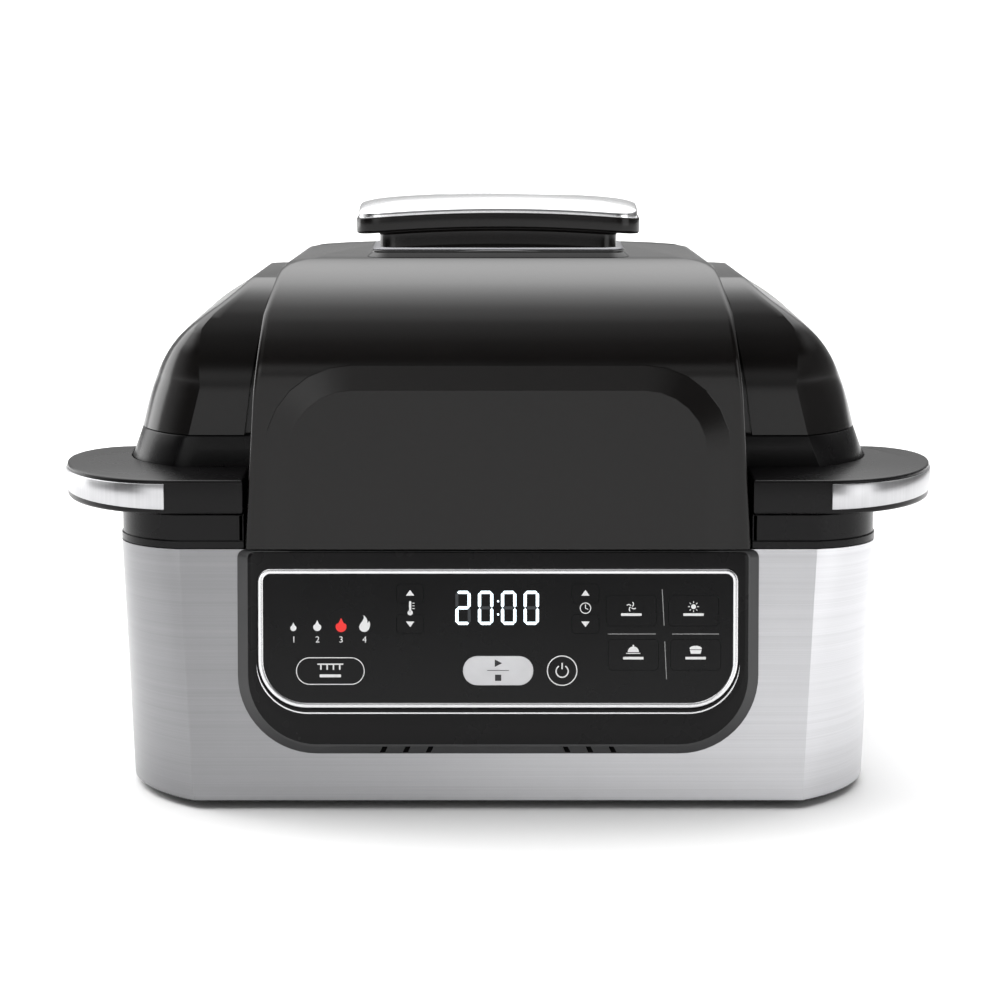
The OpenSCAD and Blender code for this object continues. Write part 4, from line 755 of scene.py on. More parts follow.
def cover_side(y, z):
    share = 1 - fall_at(y, COVER_CREASE[0], COVER_FALL) / (COVER_CREST - LID_LINE)
    return value_at(COVER_SIDE, z if z < LID_LINE else LID_LINE + (z - LID_LINE) / share)


def channel_side(z):
    u = (z - LID_LINE) / (SHOULDER_TOP - LID_LINE)
    return value_at(COVER_SIDE, z) + mix(CHANNEL_GAP_LOW, CHANNEL_GAP_TOP, u)


def side_path(front, knee, crease, foot, inset=0.0):
    """Section in Y and Z: upright front, a bend up to the crease, flat top, rear bend, rear."""
    path = line((-front + inset, foot), (-front + inset, knee), 16)
    a = (front + crease[0] - inset) / (1 - cos(BEND_STOP))
    b = (crease[1] - knee - inset) / sin(BEND_STOP)
    path += [(-front + inset + a * (1 - cos(t)), knee + b * sin(t))
             for t in (BEND_STOP * i / 26 for i in range(27))]
    rear_z = crease[1] - LID_FALL - inset
    path += line((crease[0], crease[1] - inset), (REAR_CREASE_Y, rear_z), 10)[1:]
    a, b = LID_REAR - REAR_CREASE_Y - inset, rear_z - REAR_KNEE
    path += [(REAR_CREASE_Y + a * sin(t), REAR_KNEE + b * cos(t))
             for t in (radians(90 * i / 18) for i in range(19))]
    path += line((LID_REAR - inset, REAR_KNEE), (LID_REAR - inset, foot), 10)[1:]
    return path + [(LID_REAR - inset, foot)]


def cover_row(y0, z0, y1, z1):
    """Half a section across the cover: its face, a round edge and the side wall down to
    (y1, z1)."""
    edge = cover_side(y0, z0)
    reach = dist((y0, z0), (y1, z1))
    r = min(COVER_EDGE_R, reach * 0.4)
    half = [((edge - r) * sin(pi / 2 * i / 14), y0, z0) for i in range(15)]

    def wall_at(share):
        y, z = mix(y0, y1, share), mix(z0, z1, share)
        return cover_side(y, z), y, z

    start, corner, end = Vector(half[-1]), Vector((edge, y0, z0)), Vector(wall_at(r / reach))
    for t in (0.2, 0.4, 0.6, 0.8, 1.0):
        half.append(tuple((1 - t) ** 2 * start + 2 * t * (1 - t) * corner + t * t * end))
    half += [wall_at(mix(r / reach, 1, share))
             for share in (0.03, 0.07, 0.12, 0.18, 0.26, 0.35, 0.45, 0.58, 0.75, 1)]
    return [(-x, y, z) for x, y, z in reversed(half[1:])] + half


def centre_cover():
    """The cover's front, top and back, with its side walls down to the channels."""
    outer = side_path(COVER_FRONT, COVER_KNEE, COVER_CREASE, COVER_LOW)
    inner = side_path(SHOULDER_FRONT, SHOULDER_KNEE, SHOULDER_CREASE, COVER_LOW,
                      CHANNEL_DEPTH - FIT)
    # the front dip ends at the collar's wall, the rest at the channel's floor or the lid line
    loops = []
    for (y0, z0), (y1, z1) in zip(outer, inner):
        if y0 > 0:
            z0, z1 = max(z0, LID_LINE + 0.3), max(z1, LID_LINE + 0.3)
        elif z0 < COVER_KNEE:
            y1, z1 = -SHOULDER_FRONT + (-0.3 if z0 < LID_LINE else CHANNEL_DEPTH - FIT), z0
        loops.append(cover_row(y0, z0, y1, z1))
    cover = modified(loft("cover_skin", loops, closed=False), "SOLIDIFY", thickness=COVER_T * MM,
                     offset=-1, use_even_offset=False)
    for x0, x1 in ((-ARM_X1, -ARM_X0), (ARM_X0, ARM_X1)):
        cut(cover, box_piece("arm_way", x0 - ARM_MARGIN, x1 + ARM_MARGIN, LID_REAR - 8,
                             LID_REAR + 4, LID_LINE - 4, LID_LINE + 10, 0.2))
    cut(cover, prism("vent_way", rounded_box(VENT_HALF, VENT_LOW, VENT_HIGH, 4, 4),
                     -LID_REAR - 4, -LID_REAR + 8, standing()))
    shade(cover, 34)
    place_piece(join("centre_cover", [cover, raised_front()]), "lid", "gloss_black", "lid_cover")


def raised_front():
    """Raised field in the cover's front, with a broad bevel along its sides and top."""
    def outline(inset):
        r = max(BOSS_R - inset, 4)
        return both_sides([(BOSS_HALF - inset, COVER_LOW + 0.4)]
                          + arc(BOSS_HALF - inset - r, BOSS_TOP - inset - r, r, 0, 90, 6))

    profile = [(0, -1.2), (0, 0.1), (0.3, 0.22), (BOSS_BEVEL - 0.3, BOSS_H - 0.03),
               (BOSS_BEVEL, BOSS_H), (BOSS_BEVEL + 3, BOSS_H)]
    return shade(profiled("raised_front", outline, profile, place=standing(-COVER_FRONT)), 3)


def shoulder_slice(z):
    """Plan of the right shoulder at a height, from its channel wall round to the back. Above the
    front crease the heights are those before the top falls to the back."""
    side, inner = value_at(SHOULDER_SIDE, z), channel_side(z)
    corner = min(value_at(SHOULDER_CORNER, z), side - 1.2)
    a = (SHOULDER_FRONT + SHOULDER_CREASE[0]) / (1 - cos(BEND_STOP))
    rise = max(z - SHOULDER_KNEE, 0) / (SHOULDER_TOP - SHOULDER_KNEE) * sin(BEND_STOP)
    front = SHOULDER_FRONT - a * (1 - sqrt(1 - rise ** 2))
    w = max(z - REAR_KNEE, 0) / (SHOULDER_TOP - REAR_KNEE)
    rear = REAR_CREASE_Y + (LID_REAR - REAR_CREASE_Y) * sqrt(max(1 - w ** 2, 0))
    turn = radians(30)
    r = (side - corner) / (1 - sin(turn))
    along = r * cos(turn)
    back_r = min(REAR_R, side - inner - 0.4)
    return (line((inner, -front), (corner, -front), 5)
            + arc(side - r, -front + along, r, -60, 0, 16)
            + line((side, -front + along + 2), (side, rear - back_r - 2), 6)[1:]
            + arc(side - back_r, rear - back_r, back_r, 0, 90, 14)[:-1]
            + [(mix(inner, side - back_r, 0.98), rear), (inner, rear)])


def shoulders():
    levels = [mix(LID_LINE, SHOULDER_KNEE, i / 5) for i in range(5)]
    levels += [mix(SHOULDER_KNEE, SHOULDER_TOP, sin(pi / 2 * i / 28)) for i in range(29)]
    path = side_path(SHOULDER_FRONT, SHOULDER_KNEE, SHOULDER_CREASE, LID_LINE, CHANNEL_DEPTH)
    parts = []
    for name in ("right", "left"):
        loops = []
        for z in levels:
            share = (z - LID_LINE) / (SHOULDER_TOP - LID_LINE)
            loops.append([(x, y, z - share * fall_at(y, SHOULDER_CREASE[0], SHOULDER_FALL))
                          for x, y in shoulder_slice(z)])
        piece = loft(name + "_shoulder", loops, caps=True)
        channel = loft(name + "_channel", [[(CHANNEL_INNER_X, y, z),
                                            (channel_side(z) + 1.5, y, z)] for y, z in path],
                       closed=False)
        if name == "left":
            mirrored(piece)
            mirrored(channel)
        parts += [shade(piece, 24), shade(channel, 40)]
    place_piece(join("lid_shoulders", parts), "lid", "gloss_black", "lid_shell")


def vent_outline(inset, r):
    return rounded_box(VENT_HALF - inset, VENT_LOW + inset, VENT_HIGH - inset, r, r)


def vent_grille():
    """Louvred outlet in the lid's back."""
    parts = [bevel(prism("vent_frame", vent_outline(0.4, 4), 2.6, 3.6, standing(LID_REAR)), 0.3)]
    across = (Matrix.Translation(Vector((0, LID_REAR - 2.2, 0)) * MM)
              @ Matrix(((0, 0, 1, 0), (0, 1, 0, 0), (1, 0, 0, 0), (0, 0, 0, 1))))
    for z in (VENT_LOW + 4.4 + 4.3 * i for i in range(6)):
        parts.append(prism("blade", [(z - 1.4, -1.6), (z + 1.0, 0.8), (z + 1.6, 0.8),
                                     (z - 0.6, -2.4)], -VENT_HALF + 3, VENT_HALF - 3, across))
    border, inner = vent_outline(0.4, 4), vent_outline(3.4, 2)
    rim = [raised(border, 2.4), raised(border, 0.7), raised(inner, 0.7), raised(inner, 2.4)]
    parts.append(bevel(hoop("vent_rim", rim, standing(LID_REAR)), 0.35))
    place_piece(join("vent_louvres", parts), "lid", "satin_black", "rear_vent_grille", smooth=30)


# ---- lid handle ----

GRIP_HALF = high("lid_handle_grip", "X")
GRIP_FRONT, GRIP_BACK = -low("lid_handle_grip", "Y"), -high("lid_handle_grip", "Y")
GRIP_LOW, GRIP_HIGH = high("lid_handle_base", "Z"), high("lid_handle_grip", "Z")
GRIP_SAG, CAP_CROWN = 3.2, 3.6
CAP_TOP = high("lid_handle_cap", "Z")
CAP_RIM = CAP_TOP - 2.15                    # above it the cap's top is domed
CAP_INSET = 1.2
NECK_HALF, NECK_FRONT, NECK_BACK = 58.4, 86.0, 38.0


def sagged(x, y):
    return -GRIP_SAG * (x / GRIP_HALF) ** 2


def crowned(x, y):
    middle, half = -(GRIP_FRONT + GRIP_BACK) / 2, (GRIP_FRONT - GRIP_BACK) / 2
    return sagged(x, y) - CAP_CROWN * ((y - middle) / half) ** 2


def slab(half, front, back, r_front, r_back):
    """outline(inset) of a rounded slab, with as many points at every inset."""
    def outline(inset):
        near, far = max(r_front - inset, 1), max(r_back - inset, 1)
        x, y0, y1 = half - inset, -front + inset, -back - inset
        right = (line((0, y0), (x - near, y0), 8) + arc(x - near, y0 + near, near, -90, 0, 10)
                 + line((x, y0 + near), (x, y1 - far), 4)[1:]
                 + arc(x - far, y1 - far, far, 0, 90, 10) + line((x - far, y1), (0, y1), 8)[1:])
        return right + [(0, y1)] + [(-px, py) for px, py in reversed(right[1:])]
    return outline


def neck_slab(grow_x, grow_y):
    return slab(NECK_HALF + grow_x, NECK_FRONT + grow_y, NECK_BACK - grow_y, 8, 8)


def handle_base(foot):
    flange = profiled("handle_flange", neck_slab(4, 3),
                      [(0, foot - 3), (-2.4, foot + 0.2), (-1.0, foot + 1.4), (0, foot + 2.2),
                       (0, foot + 3.0), (0.4, foot + 3.4), (3.2, foot + 3.5)])
    neck = profiled("handle_neck", neck_slab(0, 0),
                    [(-3.0, foot + 3.3), (-1.4, foot + 3.9), (-0.4, foot + 5.2), (0, foot + 7),
                     (0, GRIP_LOW - 2), (-1, GRIP_LOW - 0.6), (-1.4, GRIP_LOW + 1)], sagged)
    return place_piece(join("lid_handle_neck", [flange, neck]), "lid", "gloss_black",
                       "lid_handle_base", smooth=32)


def handle_cap():
    """Plate whose foot follows the grip and whose top is crowned from front to back as well."""
    outline = slab(GRIP_HALF - CAP_INSET, GRIP_FRONT - CAP_INSET, GRIP_BACK + CAP_INSET, 11, 29)
    profile = [(8, GRIP_HIGH - 0.4, sagged), (0.3, GRIP_HIGH - 0.2, sagged),
               (0, GRIP_HIGH, sagged), (0, CAP_RIM - 0.4, crowned), (0.35, CAP_RIM, crowned)]
    profile += [(inset, CAP_RIM + 1.85 * (1 - exp(-inset / 5)), crowned)
                for inset in (1, 2, 3.5, 6, 9, 12.5, 16, 20, 24, 28, 30.6)]
    cap = loft("lid_handle_plate", [[(x, y, z + warp(x, y)) for x, y in outline(inset)]
                                    for inset, z, warp in profile], caps=True)
    return place_piece(cap, "lid", "silver_cap", "lid_handle_cap", smooth=45)


def lid_handle():
    foot = COVER_TOP
    base = handle_base(foot)
    trim = profiled("handle_trim", neck_slab(3.4, 2.4),
                    [(1.6, foot + 3.3), (0, foot + 3.4), (-0.25, foot + 3.8), (0, foot + 4.2),
                     (1.6, foot + 4.6)])
    place_piece(trim, "lid", "gloss_black", material="motor_metal", smooth=50)
    grip = profiled("lid_handle_grip_body", slab(GRIP_HALF, GRIP_FRONT, GRIP_BACK, 12, 30),
                    [(14, GRIP_LOW)] + rounded_profile(GRIP_LOW, GRIP_HIGH, 1.6, 0.7)
                    + [(1.1, GRIP_HIGH - 0.1), (1.3, GRIP_HIGH - 0.5), (14, GRIP_HIGH - 0.5)],
                    sagged)
    place_piece(grip, "lid", "gloss_black", "lid_handle_grip", smooth=32)
    for piece in (base, trim, grip, handle_cap(), NODES["handle_bolts"]):
        piece.visible_glossy = False        # the lid's crown mirrors the light, not the handle


# ---- control panel ----

RING_HALF, RING_LOW, RING_HIGH = 114.6, 22.7, 89.4
RING_R_LOW, RING_R_HIGH, RING_W = 23.0, 6.0, 2.4
RING_FOOT = 4.3
BEZEL_T = 6.0
OVERLAY_TOP = BEZEL_T - 0.2
AIR_SLOT_X, AIR_SLOT_PITCH, AIR_SLOT_Y = 32.8, 11, 2.2
AIR_SLOT_LEAN = 1.7 * tan(radians(25))
# Where the painted highlight strip under the ring runs: half width, foot, corner radius, and the
# strip's half width
EDGE_HALF, EDGE_LOW, EDGE_R, EDGE_W = 115.5, 20.2, 24.6, 0.34
# Keys: centre on the panel, half width, half height and corner radius
TEMP_X, TIME_X, ARROW_UP_Y, ARROW_DOWN_Y = -42.0, 41.7, 77.6, 63.0
GRILL, POWER = (-80.2, 40.4), (30.6, 40.6)
PILL, ROUND = (16.8, 7.0, 6.9), (7.6, 7.6, 7.55)
ARROW, FUNCTION = (6.5, 4.6, 2.0), (12.0, 7.4, 2.0)
KEYS = {"grill": (GRILL, PILL), "start_stop": ((0, 40.6), PILL), "power": (POWER, ROUND),
        "temp_up": ((TEMP_X, ARROW_UP_Y), ARROW), "temp_down": ((TEMP_X, ARROW_DOWN_Y), ARROW),
        "time_up": ((TIME_X, ARROW_UP_Y), ARROW), "time_down": ((TIME_X, ARROW_DOWN_Y), ARROW),
        "crisp": ((63.6, 69.4), FUNCTION), "dehydrate": ((93.3, 69.4), FUNCTION),
        "roast": ((64.6, 48.2), FUNCTION), "bake": ((94.4, 48.2), FUNCTION)}
KEY_SEAM = 0.07                             # the gap that shows round a flush key
START_RISE = 0.3                            # the silver key stands out of the panel


def ring_loop(grow, z):
    return raised(rounded_box(RING_HALF + grow, RING_LOW - grow, RING_HIGH + grow,
                              RING_R_LOW + grow, RING_R_HIGH + grow, 14), z)


def bezel_loop(side, foot, top, z):
    return raised(rounded_box(BEZEL_HALF - side, foot, PANEL_H - top,
                              BEZEL_R - min(side, foot), max(4 - top, 1.5), 14), z)


def air_slots(name, half_w, half_h, z0, z1):
    """Three slots on each side at the foot of the bezel, which lean outward."""
    slots = []
    for side in (-1, 1):
        for x in (side * (AIR_SLOT_X + AIR_SLOT_PITCH * i) for i in range(3)):
            foot, top = x + side * AIR_SLOT_LEAN, x - side * AIR_SLOT_LEAN
            y0, y1 = AIR_SLOT_Y - half_h, AIR_SLOT_Y + half_h
            slots.append(prism("slot", [(foot - half_w, y0), (foot + half_w, y0),
                                        (top + half_w, y1), (top - half_w, y1)], z0, z1, PANEL))
    return join(name, slots)


def bezel():
    """Outer band in a grey that paints the light on the black bezel, and the black face from its
    edge to the ring.
    """
    skirt = [bezel_loop(SKIRT_INSET, SKIRT_INSET, 3, z) for z in (-9, 0.3)]
    slope = [bezel_loop(*row) for row in (
        (0.5, 0.5, 0.3, 0.3), (0.1, 0.1, 0.1, 0.45), (0, 0, 0, 0.8), (4.3, 3.9, 0.5, 4.6),
        (4.7, 4.3, 0.6, 4.9), (5.2, 5.0, 0.8, 5.1))]
    face = [bezel_loop(*row) for row in (
        (6.6, 12.6, 1.1, 5.85), (6.9, 13.6, 1.2, 5.94), (7.2, 14.6, 1.4, 5.97))]
    face += [ring_loop(grow, z) for grow, z in
             ((0.8, 6.0), (0.4, 5.9), (0.2, 5.6), (0.2, RING_FOOT), (-7, 4.2))]
    band = hoop("bezel_band", skirt + slope + [bezel_loop(5.3, 5.1, 0.9, 3.0)], PANEL)
    body = hoop("bezel_face", [bezel_loop(5.2, 5.0, 0.8, 3.0), slope[-1]] + face, PANEL)
    cut(band, air_slots("slots", 1.3, 1.7, 1.2, 9))
    # dark sheets close the slots at their bottom: painted shade inside them
    slot_shade_sheets = air_slots("air_slots", 1.25, 1.6, 1.0, 1.3)
    # the band's grey is painted light on the black bezel
    place_piece(band, "root", "satin_black", material="painted_lit_band", smooth=14)
    place_piece(slot_shade_sheets, "root", "satin_black", material="painted_slot_shade")
    place_piece(body, "root", "satin_black", "control_bezel", smooth=14)


def panel_ring():
    """A rounded bright bead, and below it a thin bright strip that paints the highlight on the edge
    under the bead, tapering at its ends.
    """
    loops = [ring_loop(*row) for row in (
        (0, RING_FOOT), (0, 6.0), (-0.15, 6.25), (-0.5, 6.42), (-RING_W + 0.5, 6.42),
        (-RING_W + 0.15, 6.25), (-RING_W, 6.0), (-RING_W, RING_FOOT))]
    place_piece(hoop("bright_ring", loops, PANEL), "root", "bright_trim", "panel_ring", smooth=50)
    # painted highlight: a thin bright strip, tapering to nothing at its ends, where the edge below
    # the ring catches the light
    x, y = EDGE_HALF - EDGE_R, EDGE_LOW + EDGE_R
    path = (arc(x, y, EDGE_R, -4, -90, 22) + line((x, EDGE_LOW), (-x, EDGE_LOW), 12)[1:]
            + arc(-x, y, EDGE_R, -90, -176, 22))
    loops = []
    for i, (x, y) in enumerate(path):
        u = i / (len(path) - 1)
        n = normal(path, i) * EDGE_W * min(1, 7 * u + 0.12, 7 * (1 - u) + 0.12)
        loops.append([(x + n.x * k, y + n.y * k, z)
                      for k, z in ((1, 5.8), (1, 6.08), (-1, 6.08), (-1, 5.8))])
    place_piece(loft("edge_highlight_strip", loops, caps=True, place=PANEL), "root", "bright_trim")


def key_loop(name, grow, z):
    (cx, cy), (half_x, half_y, r) = KEYS[name]
    return raised(moved(rounded_box(half_x + grow, -half_y - grow, half_y + grow, r + grow,
                                    r + grow), cx, cy), z)


def overlay_and_keys():
    """One smooth black face; its keys lie flush in it, with a hair line round each."""
    face = loft("face", [ring_loop(-RING_W - 0.05, z) for z in (RING_FOOT, OVERLAY_TOP)],
                caps=True, place=PANEL)
    ways = [loft("way", [key_loop(name, KEY_SEAM, z) for z in (3, 9)], caps=True, place=PANEL)
            for name in KEYS]
    cut(face, join("ways", ways))
    place_piece(face, "root", "gloss_black", "panel_overlay", material="panel_face", smooth=20)
    for name in KEYS:
        silver = name == "start_stop"
        top = OVERLAY_TOP + (START_RISE if silver else 0)
        loops = [key_loop(name, grow, z) for grow, z in ((0, 2.6), (0, top - 0.08), (-0.08, top))]
        place_piece(loft(name + "_face", loops, caps=True, place=PANEL), name + "_button",
                    "key_silver" if silver else "key_black", name + "_key",
                    material="key_silver" if silver else "panel_face", smooth=40)


# Printed marks: flat outlines on the panel

def marks(name, shapes, body="root", material="white_print", z=OVERLAY_TOP, thick=0.05, more=()):
    pieces = [prism("mark", shape, z - 0.08, z + thick, PANEL) for shape in shapes]
    place_piece(join(name, pieces + list(more)), body, "key_silver", material=material)


def box_shape(cx, cy, half_x, half_y, r=0.15):
    return moved(rounded_box(half_x, -half_y, half_y, r, r, 4), cx, cy)


def disc(cx, cy, r, count=28):
    return arc(cx, cy, r, 0, 360 - 360 / count, count - 1)


def outlined(name, cx, cy, half_x, half_y, width):
    """Printed line round a pill."""
    loops = []
    for inset, z in ((0, -0.08), (0, 0.05), (width, 0.05), (width, -0.08)):
        x, y = half_x - inset, half_y - inset
        loops.append(raised(moved(rounded_box(x, -y, y, y - 0.05, y - 0.05, 12), cx, cy),
                            OVERLAY_TOP + z))
    return hoop(name, loops, PANEL)


def normal(points, i):
    ahead = direction(points, i)
    return Vector((-ahead.y, ahead.x)).normalized()


def stroke(points, width):
    """Outline of a line of even width through a few points."""
    sides = [(x, y, normal(points, i) * width / 2) for i, (x, y) in enumerate(points)]
    return [(x - n.x, y - n.y) for x, y, n in sides] + [(x + n.x, y + n.y)
                                                        for x, y, n in reversed(sides)]


def drop(cx, cy, w, h):
    """A teardrop standing on its round end."""
    r = w / 2
    right = arc(cx, cy - h / 2 + r, r, -90, 30, 8)
    right += [(cx + r * 0.52, cy + h * 0.12), (cx + r * 0.2, cy + h * 0.34), (cx, cy + h / 2)]
    return right + [(2 * cx - x, y) for x, y in reversed(right[:-1])]


def flame(cx, cy, w, h):
    shape = [(0, -1), (0.34, -0.96), (0.68, -0.78), (0.92, -0.46), (1, -0.1), (0.94, 0.12),
             (0.8, 0.34), (0.66, 0.14), (0.52, 0.06), (0.5, 0.34), (0.36, 0.62), (0.12, 0.84),
             (-0.18, 1), (-0.12, 0.72), (-0.26, 0.44), (-0.56, 0.14), (-0.84, -0.14),
             (-0.96, -0.4), (-0.84, -0.72), (-0.46, -0.95)]
    return [(cx + x * w / 2, cy + y * h / 2) for x, y in shape]


def number(value, x, y, height):
    """A plain printed number, centred on the panel."""
    curve = bpy.data.curves.new("number", "FONT")
    curve.body, curve.align_x, curve.align_y = str(value), "CENTER", "CENTER"
    curve.size, curve.extrude = height * 1.42 * MM, 0.04 * MM
    text = add("number", curve)
    graph = bpy.context.evaluated_depsgraph_get()
    mesh = bpy.data.meshes.new_from_object(text.evaluated_get(graph))
    bpy.data.objects.remove(text)
    mesh.transform(PANEL @ Matrix.Translation(Vector((x, y, OVERLAY_TOP)) * MM))
    return add("number_%s" % value, mesh)


def segments(x0, y0, w, h, t, gap=0.14):
    """The seven bars of one display figure, by letter, as pointed strips of thickness t."""
    d, middle = t / 2, y0 + h / 2
    x1, top, y0 = x0 + w - d, y0 + h - d, y0 + d
    x0 += d

    def bar(p, q):
        (ax, ay), (bx, by) = p, q
        u, v = (1, 0) if ay == by else (0, 1)
        near, far = gap, gap + d
        return [(ax + u * near, ay + v * near), (ax + u * far + v * d, ay + v * far - u * d),
                (bx - u * far + v * d, by - v * far - u * d), (bx - u * near, by - v * near),
                (bx - u * far - v * d, by - v * far + u * d),
                (ax + u * far - v * d, ay + v * far + u * d)]

    return {"a": bar((x0, top), (x1, top)), "g": bar((x0, middle), (x1, middle)),
            "d": bar((x0, y0), (x1, y0)), "b": bar((x1, middle), (x1, top)),
            "c": bar((x1, y0), (x1, middle)), "e": bar((x0, y0), (x0, middle)),
            "f": bar((x0, middle), (x0, top))}


def display():
    """Time to go on seven-segment figures, with the unlit bars faintly there."""
    shown = {"0": "abcdef", "2": "abdeg"}
    foot, width, height, thick = 62.6, 7.3, 16.3, 1.45
    on, off = [], []
    for figure, x in zip("2000", (-20.4, -9.6, 1.4, 12.2)):
        for key, shape in segments(x, foot, width, height, thick).items():
            (on if key in shown[figure] else off).append(shape)
    colon = [disc(0, 67.6, 0.5), disc(0, 73.9, 0.5)]
    marks("display_figures", on + colon, material="lit_digit")
    marks("display_unlit", off, material="ghost_digit", thick=0.03)


def setting_marks():
    """Heat levels, thermometer and clock, and the arrows over and under them."""
    marks("heat_marks", [drop(-97.8, 61.7, 2.9, 4.2), drop(-86.4, 62.2, 3.8, 5.2),
                         flame(-63.8, 63.2, 5.4, 8.0)])
    marks("heat_mark_set", [drop(-75, 62.5, 5.2, 6.8)], material="red_print")
    marks("heat_numbers", [], more=[number(i + 1, x, 55.4, 3.0)
                                    for i, x in enumerate((-97.6, -86.3, -75, -63.8))])
    thermometer = [disc(TEMP_X, 68.4, 1.25), box_shape(TEMP_X, 71.3, 0.55, 2.7, 0.5)]
    thermometer += [box_shape(TEMP_X + 1.6, 70.4 + 1.3 * i, 0.6, 0.16) for i in range(3)]
    hub = (TIME_X, 70.6)
    clock = [stroke(arc(*hub, 2.5, 0, 360, 30), 0.42), stroke([(TIME_X, 72.3), hub], 0.38),
             stroke([hub, (TIME_X + 1.3, 70.0)], 0.38)]
    marks("setting_marks", thermometer + clock)
    for x, name in ((TEMP_X, "temp"), (TIME_X, "time")):
        marks(name + "_up_mark", [[(x - 2.0, 76.6), (x + 2.0, 76.6), (x, 79.3)]],
              name + "_up_button")
        marks(name + "_down_mark", [[(x - 2.0, 64.2), (x, 61.5), (x + 2.0, 64.2)]],
              name + "_down_button")


def command_marks():
    """Grill over its bars, start and stop, and power."""
    x, y = GRILL
    bars = [box_shape(x - 4.5 + 3 * i, y + 1.9, 0.36, 1.3) for i in range(4)]
    bars += [box_shape(x, y + 3.3, 6.2, 0.32), box_shape(x, y - 2.3, 5.1, 0.7, 0.3)]
    marks("grill_marks", bars, "grill_button", more=[outlined("line", x, y, 16.4, 6.6, 0.42)])
    start = [[(-1.6, 42.4), (1.9, 44.2), (-1.6, 46.0)], box_shape(0, 40.7, 5.2, 0.14, 0.1),
             box_shape(0, 37.2, 1.5, 1.5)]
    marks("start_stop_marks", start, "start_stop_button", "dark_print", OVERLAY_TOP + START_RISE)
    x, y = POWER
    power = [stroke(arc(x, y - 0.3, 2.9, 122, 418, 30), 0.62),
             box_shape(x, y + 2.2, 0.33, 1.5, 0.1)]
    marks("power_marks", power, "power_button", more=[outlined("line", x, y, 7.3, 7.3, 0.5)])


def function_marks():
    """Pictures on the four function keys, with a bar under each, and the lines between."""
    def polar(r, a):
        return r * cos(a), r * sin(a)

    swirl = [stroke([polar(r, pi / 2 * k + r * 0.55) for r in (0.5, 1.1, 1.7, 2.3)], 0.5)
             for k in range(4)]
    sun = [stroke([polar(r, pi / 4 * k) for r in (1.75, 2.6)], 0.36) for k in range(8)]
    dish = [arc(0, -0.9, 2.7, 0, 180, 16), box_shape(0, -1.5, 3.4, 0.22), disc(0, 2.2, 0.42)]
    tin = [(-2.3, -1.7), (2.3, -1.7), (2.8, 0.1), (-2.8, 0.1)]
    loaf = [(-2.8, 0.4), (2.8, 0.4), (2.9, 1.1), (2.1, 1.8), (0.8, 2.1), (-0.8, 2.1),
            (-2.1, 1.8), (-2.9, 1.1)]
    for key, x, y, shapes in (("crisp", 63.6, 71.3, swirl),
                              ("dehydrate", 93.3, 71.3, sun + [disc(0, 0, 1.15)]),
                              ("roast", 64.6, 50.4, dish), ("bake", 94.4, 50.4, [tin, loaf])):
        shapes = shapes + [box_shape(0, -3.8, 4.9, 0.62, 0.25)]
        marks(key + "_marks", [moved(shape, x, y) for shape in shapes], key + "_button")
    ends = (((52.4, 58.2), (75.3, 58.2)), ((83.1, 58.2), (105.5, 58.2)),
            ((78.3, 79.6), (79.3, 62.2)), ((79.6, 54.6), (80.5, 36.4)))
    marks("function_lines", [stroke(pair, 0.36) for pair in ends], material="grey_print")


dress_cad_nodes()
steel_wrap()
collar()
side_handles()
centre_cover()
shoulders()
vent_grille()
lid_handle()
bezel()
panel_ring()
overlay_and_keys()
display()
setting_marks()
command_marks()
function_marks()

# ---- stage ----

scene = bpy.context.scene
scene.view_settings.view_transform = "Standard"

# Radiance of the studio by sine of the height above the horizon. A wide soft light stands above
# and behind the appliance; in front there is light near the horizon and little above it.
BACK_WALL = [(0.0, 0.38), (0.225, 0.42), (0.342, 1.1), (0.454, 2.1), (0.56, 3.0), (0.656, 3.9),
             (0.81, 5.4), (0.906, 4.8), (0.978, 3.3), (1.0, 2.2)]
FRONT_WALL = [(0.0, 0.75), (0.06, 0.75), (0.13, 1.2), (0.22, 1.2), (0.32, 0.2), (0.42, 0.1),
              (0.777, 0.4), (0.978, 1.2), (1.0, 2.2)]
# What share of it each wall has, from the left (-1) to the right (1)
BACK_SHARES = [(-1.0, 1.8), (-0.75, 1.2), (-0.35, 1.0), (0.35, 1.0), (0.75, 0.35), (1.0, 0.5)]
FRONT_SHARES = [(-1.0, 0.1), (-0.75, 0.12), (-0.5, 2.2), (-0.22, 2.2), (-0.08, 0.8), (0.08, 0.8),
                (0.2, 0.15), (0.5, 0.15), (0.8, 0.3), (1.0, 0.3)]
BRIGHTEST = 6.0                             # no less than the tables' greatest radiance
BACKDROP = 1.3                              # what the camera sees behind the appliance
WALL_BLEND = 0.25                           # how far the two walls run into each other


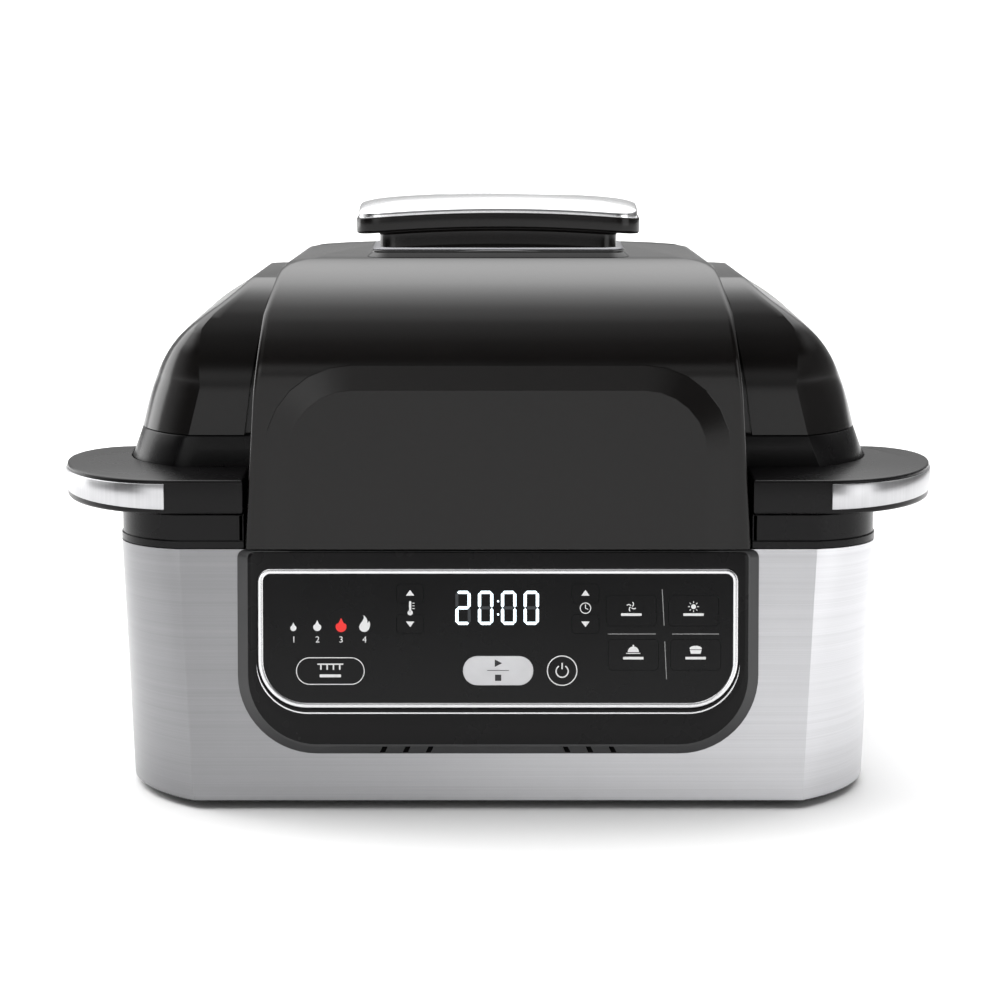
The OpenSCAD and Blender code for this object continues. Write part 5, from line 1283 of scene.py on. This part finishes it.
def studio_world():
    """White studio in which the walls' brightness depends on the direction."""
    world = bpy.data.worlds.new("studio")
    g = Graph(world, "Background")
    split = g.node("SeparateXYZ", Vector=(g.node("TexCoord"), "Generated"))
    across = g.math("MULTIPLY", g.math("ADD", (split, "X"), 1), 0.5)

    def wall(heights, shares):
        most = max(value for _, value in shares)
        share = g.ramp(across, *(((x + 1) / 2, value / most) for x, value in shares))
        height = g.ramp((split, "Z"), *((sine, value / BRIGHTEST) for sine, value in heights))
        return g.math("MULTIPLY", g.math("MULTIPLY", share, most), height)

    behind = g.step((split, "Y"), -WALL_BLEND, WALL_BLEND)
    light = g.math("ADD", g.math("MULTIPLY", wall(BACK_WALL, BACK_SHARES), behind),
                   g.math("MULTIPLY", wall(FRONT_WALL, FRONT_SHARES),
                          g.math("SUBTRACT", 1, behind)))
    seen = g.node("LightPath"), "Is Camera Ray"
    g.finish(Color=(1, 1, 1, 1), Strength=g.math("MAXIMUM", g.math("MULTIPLY", light, BRIGHTEST),
                                                 g.math("MULTIPLY", seen, BACKDROP)))
    return world


def softbox(name, place, aim, width, height, power):
    light = bpy.data.lights.new(name, "AREA")
    light.shape, light.size, light.size_y, light.energy = "RECTANGLE", width, height, power
    made = add(name, light)
    made.location = place
    made.rotation_euler = (Vector(aim) - Vector(place)).to_track_quat("-Z", "Y").to_euler()


def floor():
    half, z = 6000, -0.3
    made = mesh_object("floor", raised([(-half, -half), (half, -half), (half, half),
                                        (-half, half)], z), [(0, 1, 2, 3)])
    g = material("pale_floor")
    cloud = g.noise(g.place(), 3, 3)
    g.finish(Base_Color=g.ramp(cloud, (0.3, 0.88), (0.7, 0.9)),
             Roughness=g.span(cloud, 0.85, 0.95), Specular_IOR_Level=0.2)
    dress(made, "pale_floor")


def photo_camera():
    """Long lens, a little above the lid and 9 degrees down, as fitted to the photo."""
    data = bpy.data.cameras.new("camera")
    data.sensor_width, data.lens = 36, 121.6
    camera = add("camera", data)
    camera.location = Vector((0.9, -1750, 400.7)) * MM
    camera.rotation_euler = (radians(90 - 9), 0, 0)
    return camera


scene.world = studio_world()
softbox("left_box", (-1.4, 0.9, 0.6), (0, 0, 0.15), 0.8, 1.1, 8)
softbox("right_box", (1.35, -1.2, 0.5), (0, 0, 0.1), 1.0, 0.8, 5)
floor()
scene.camera = photo_camera()
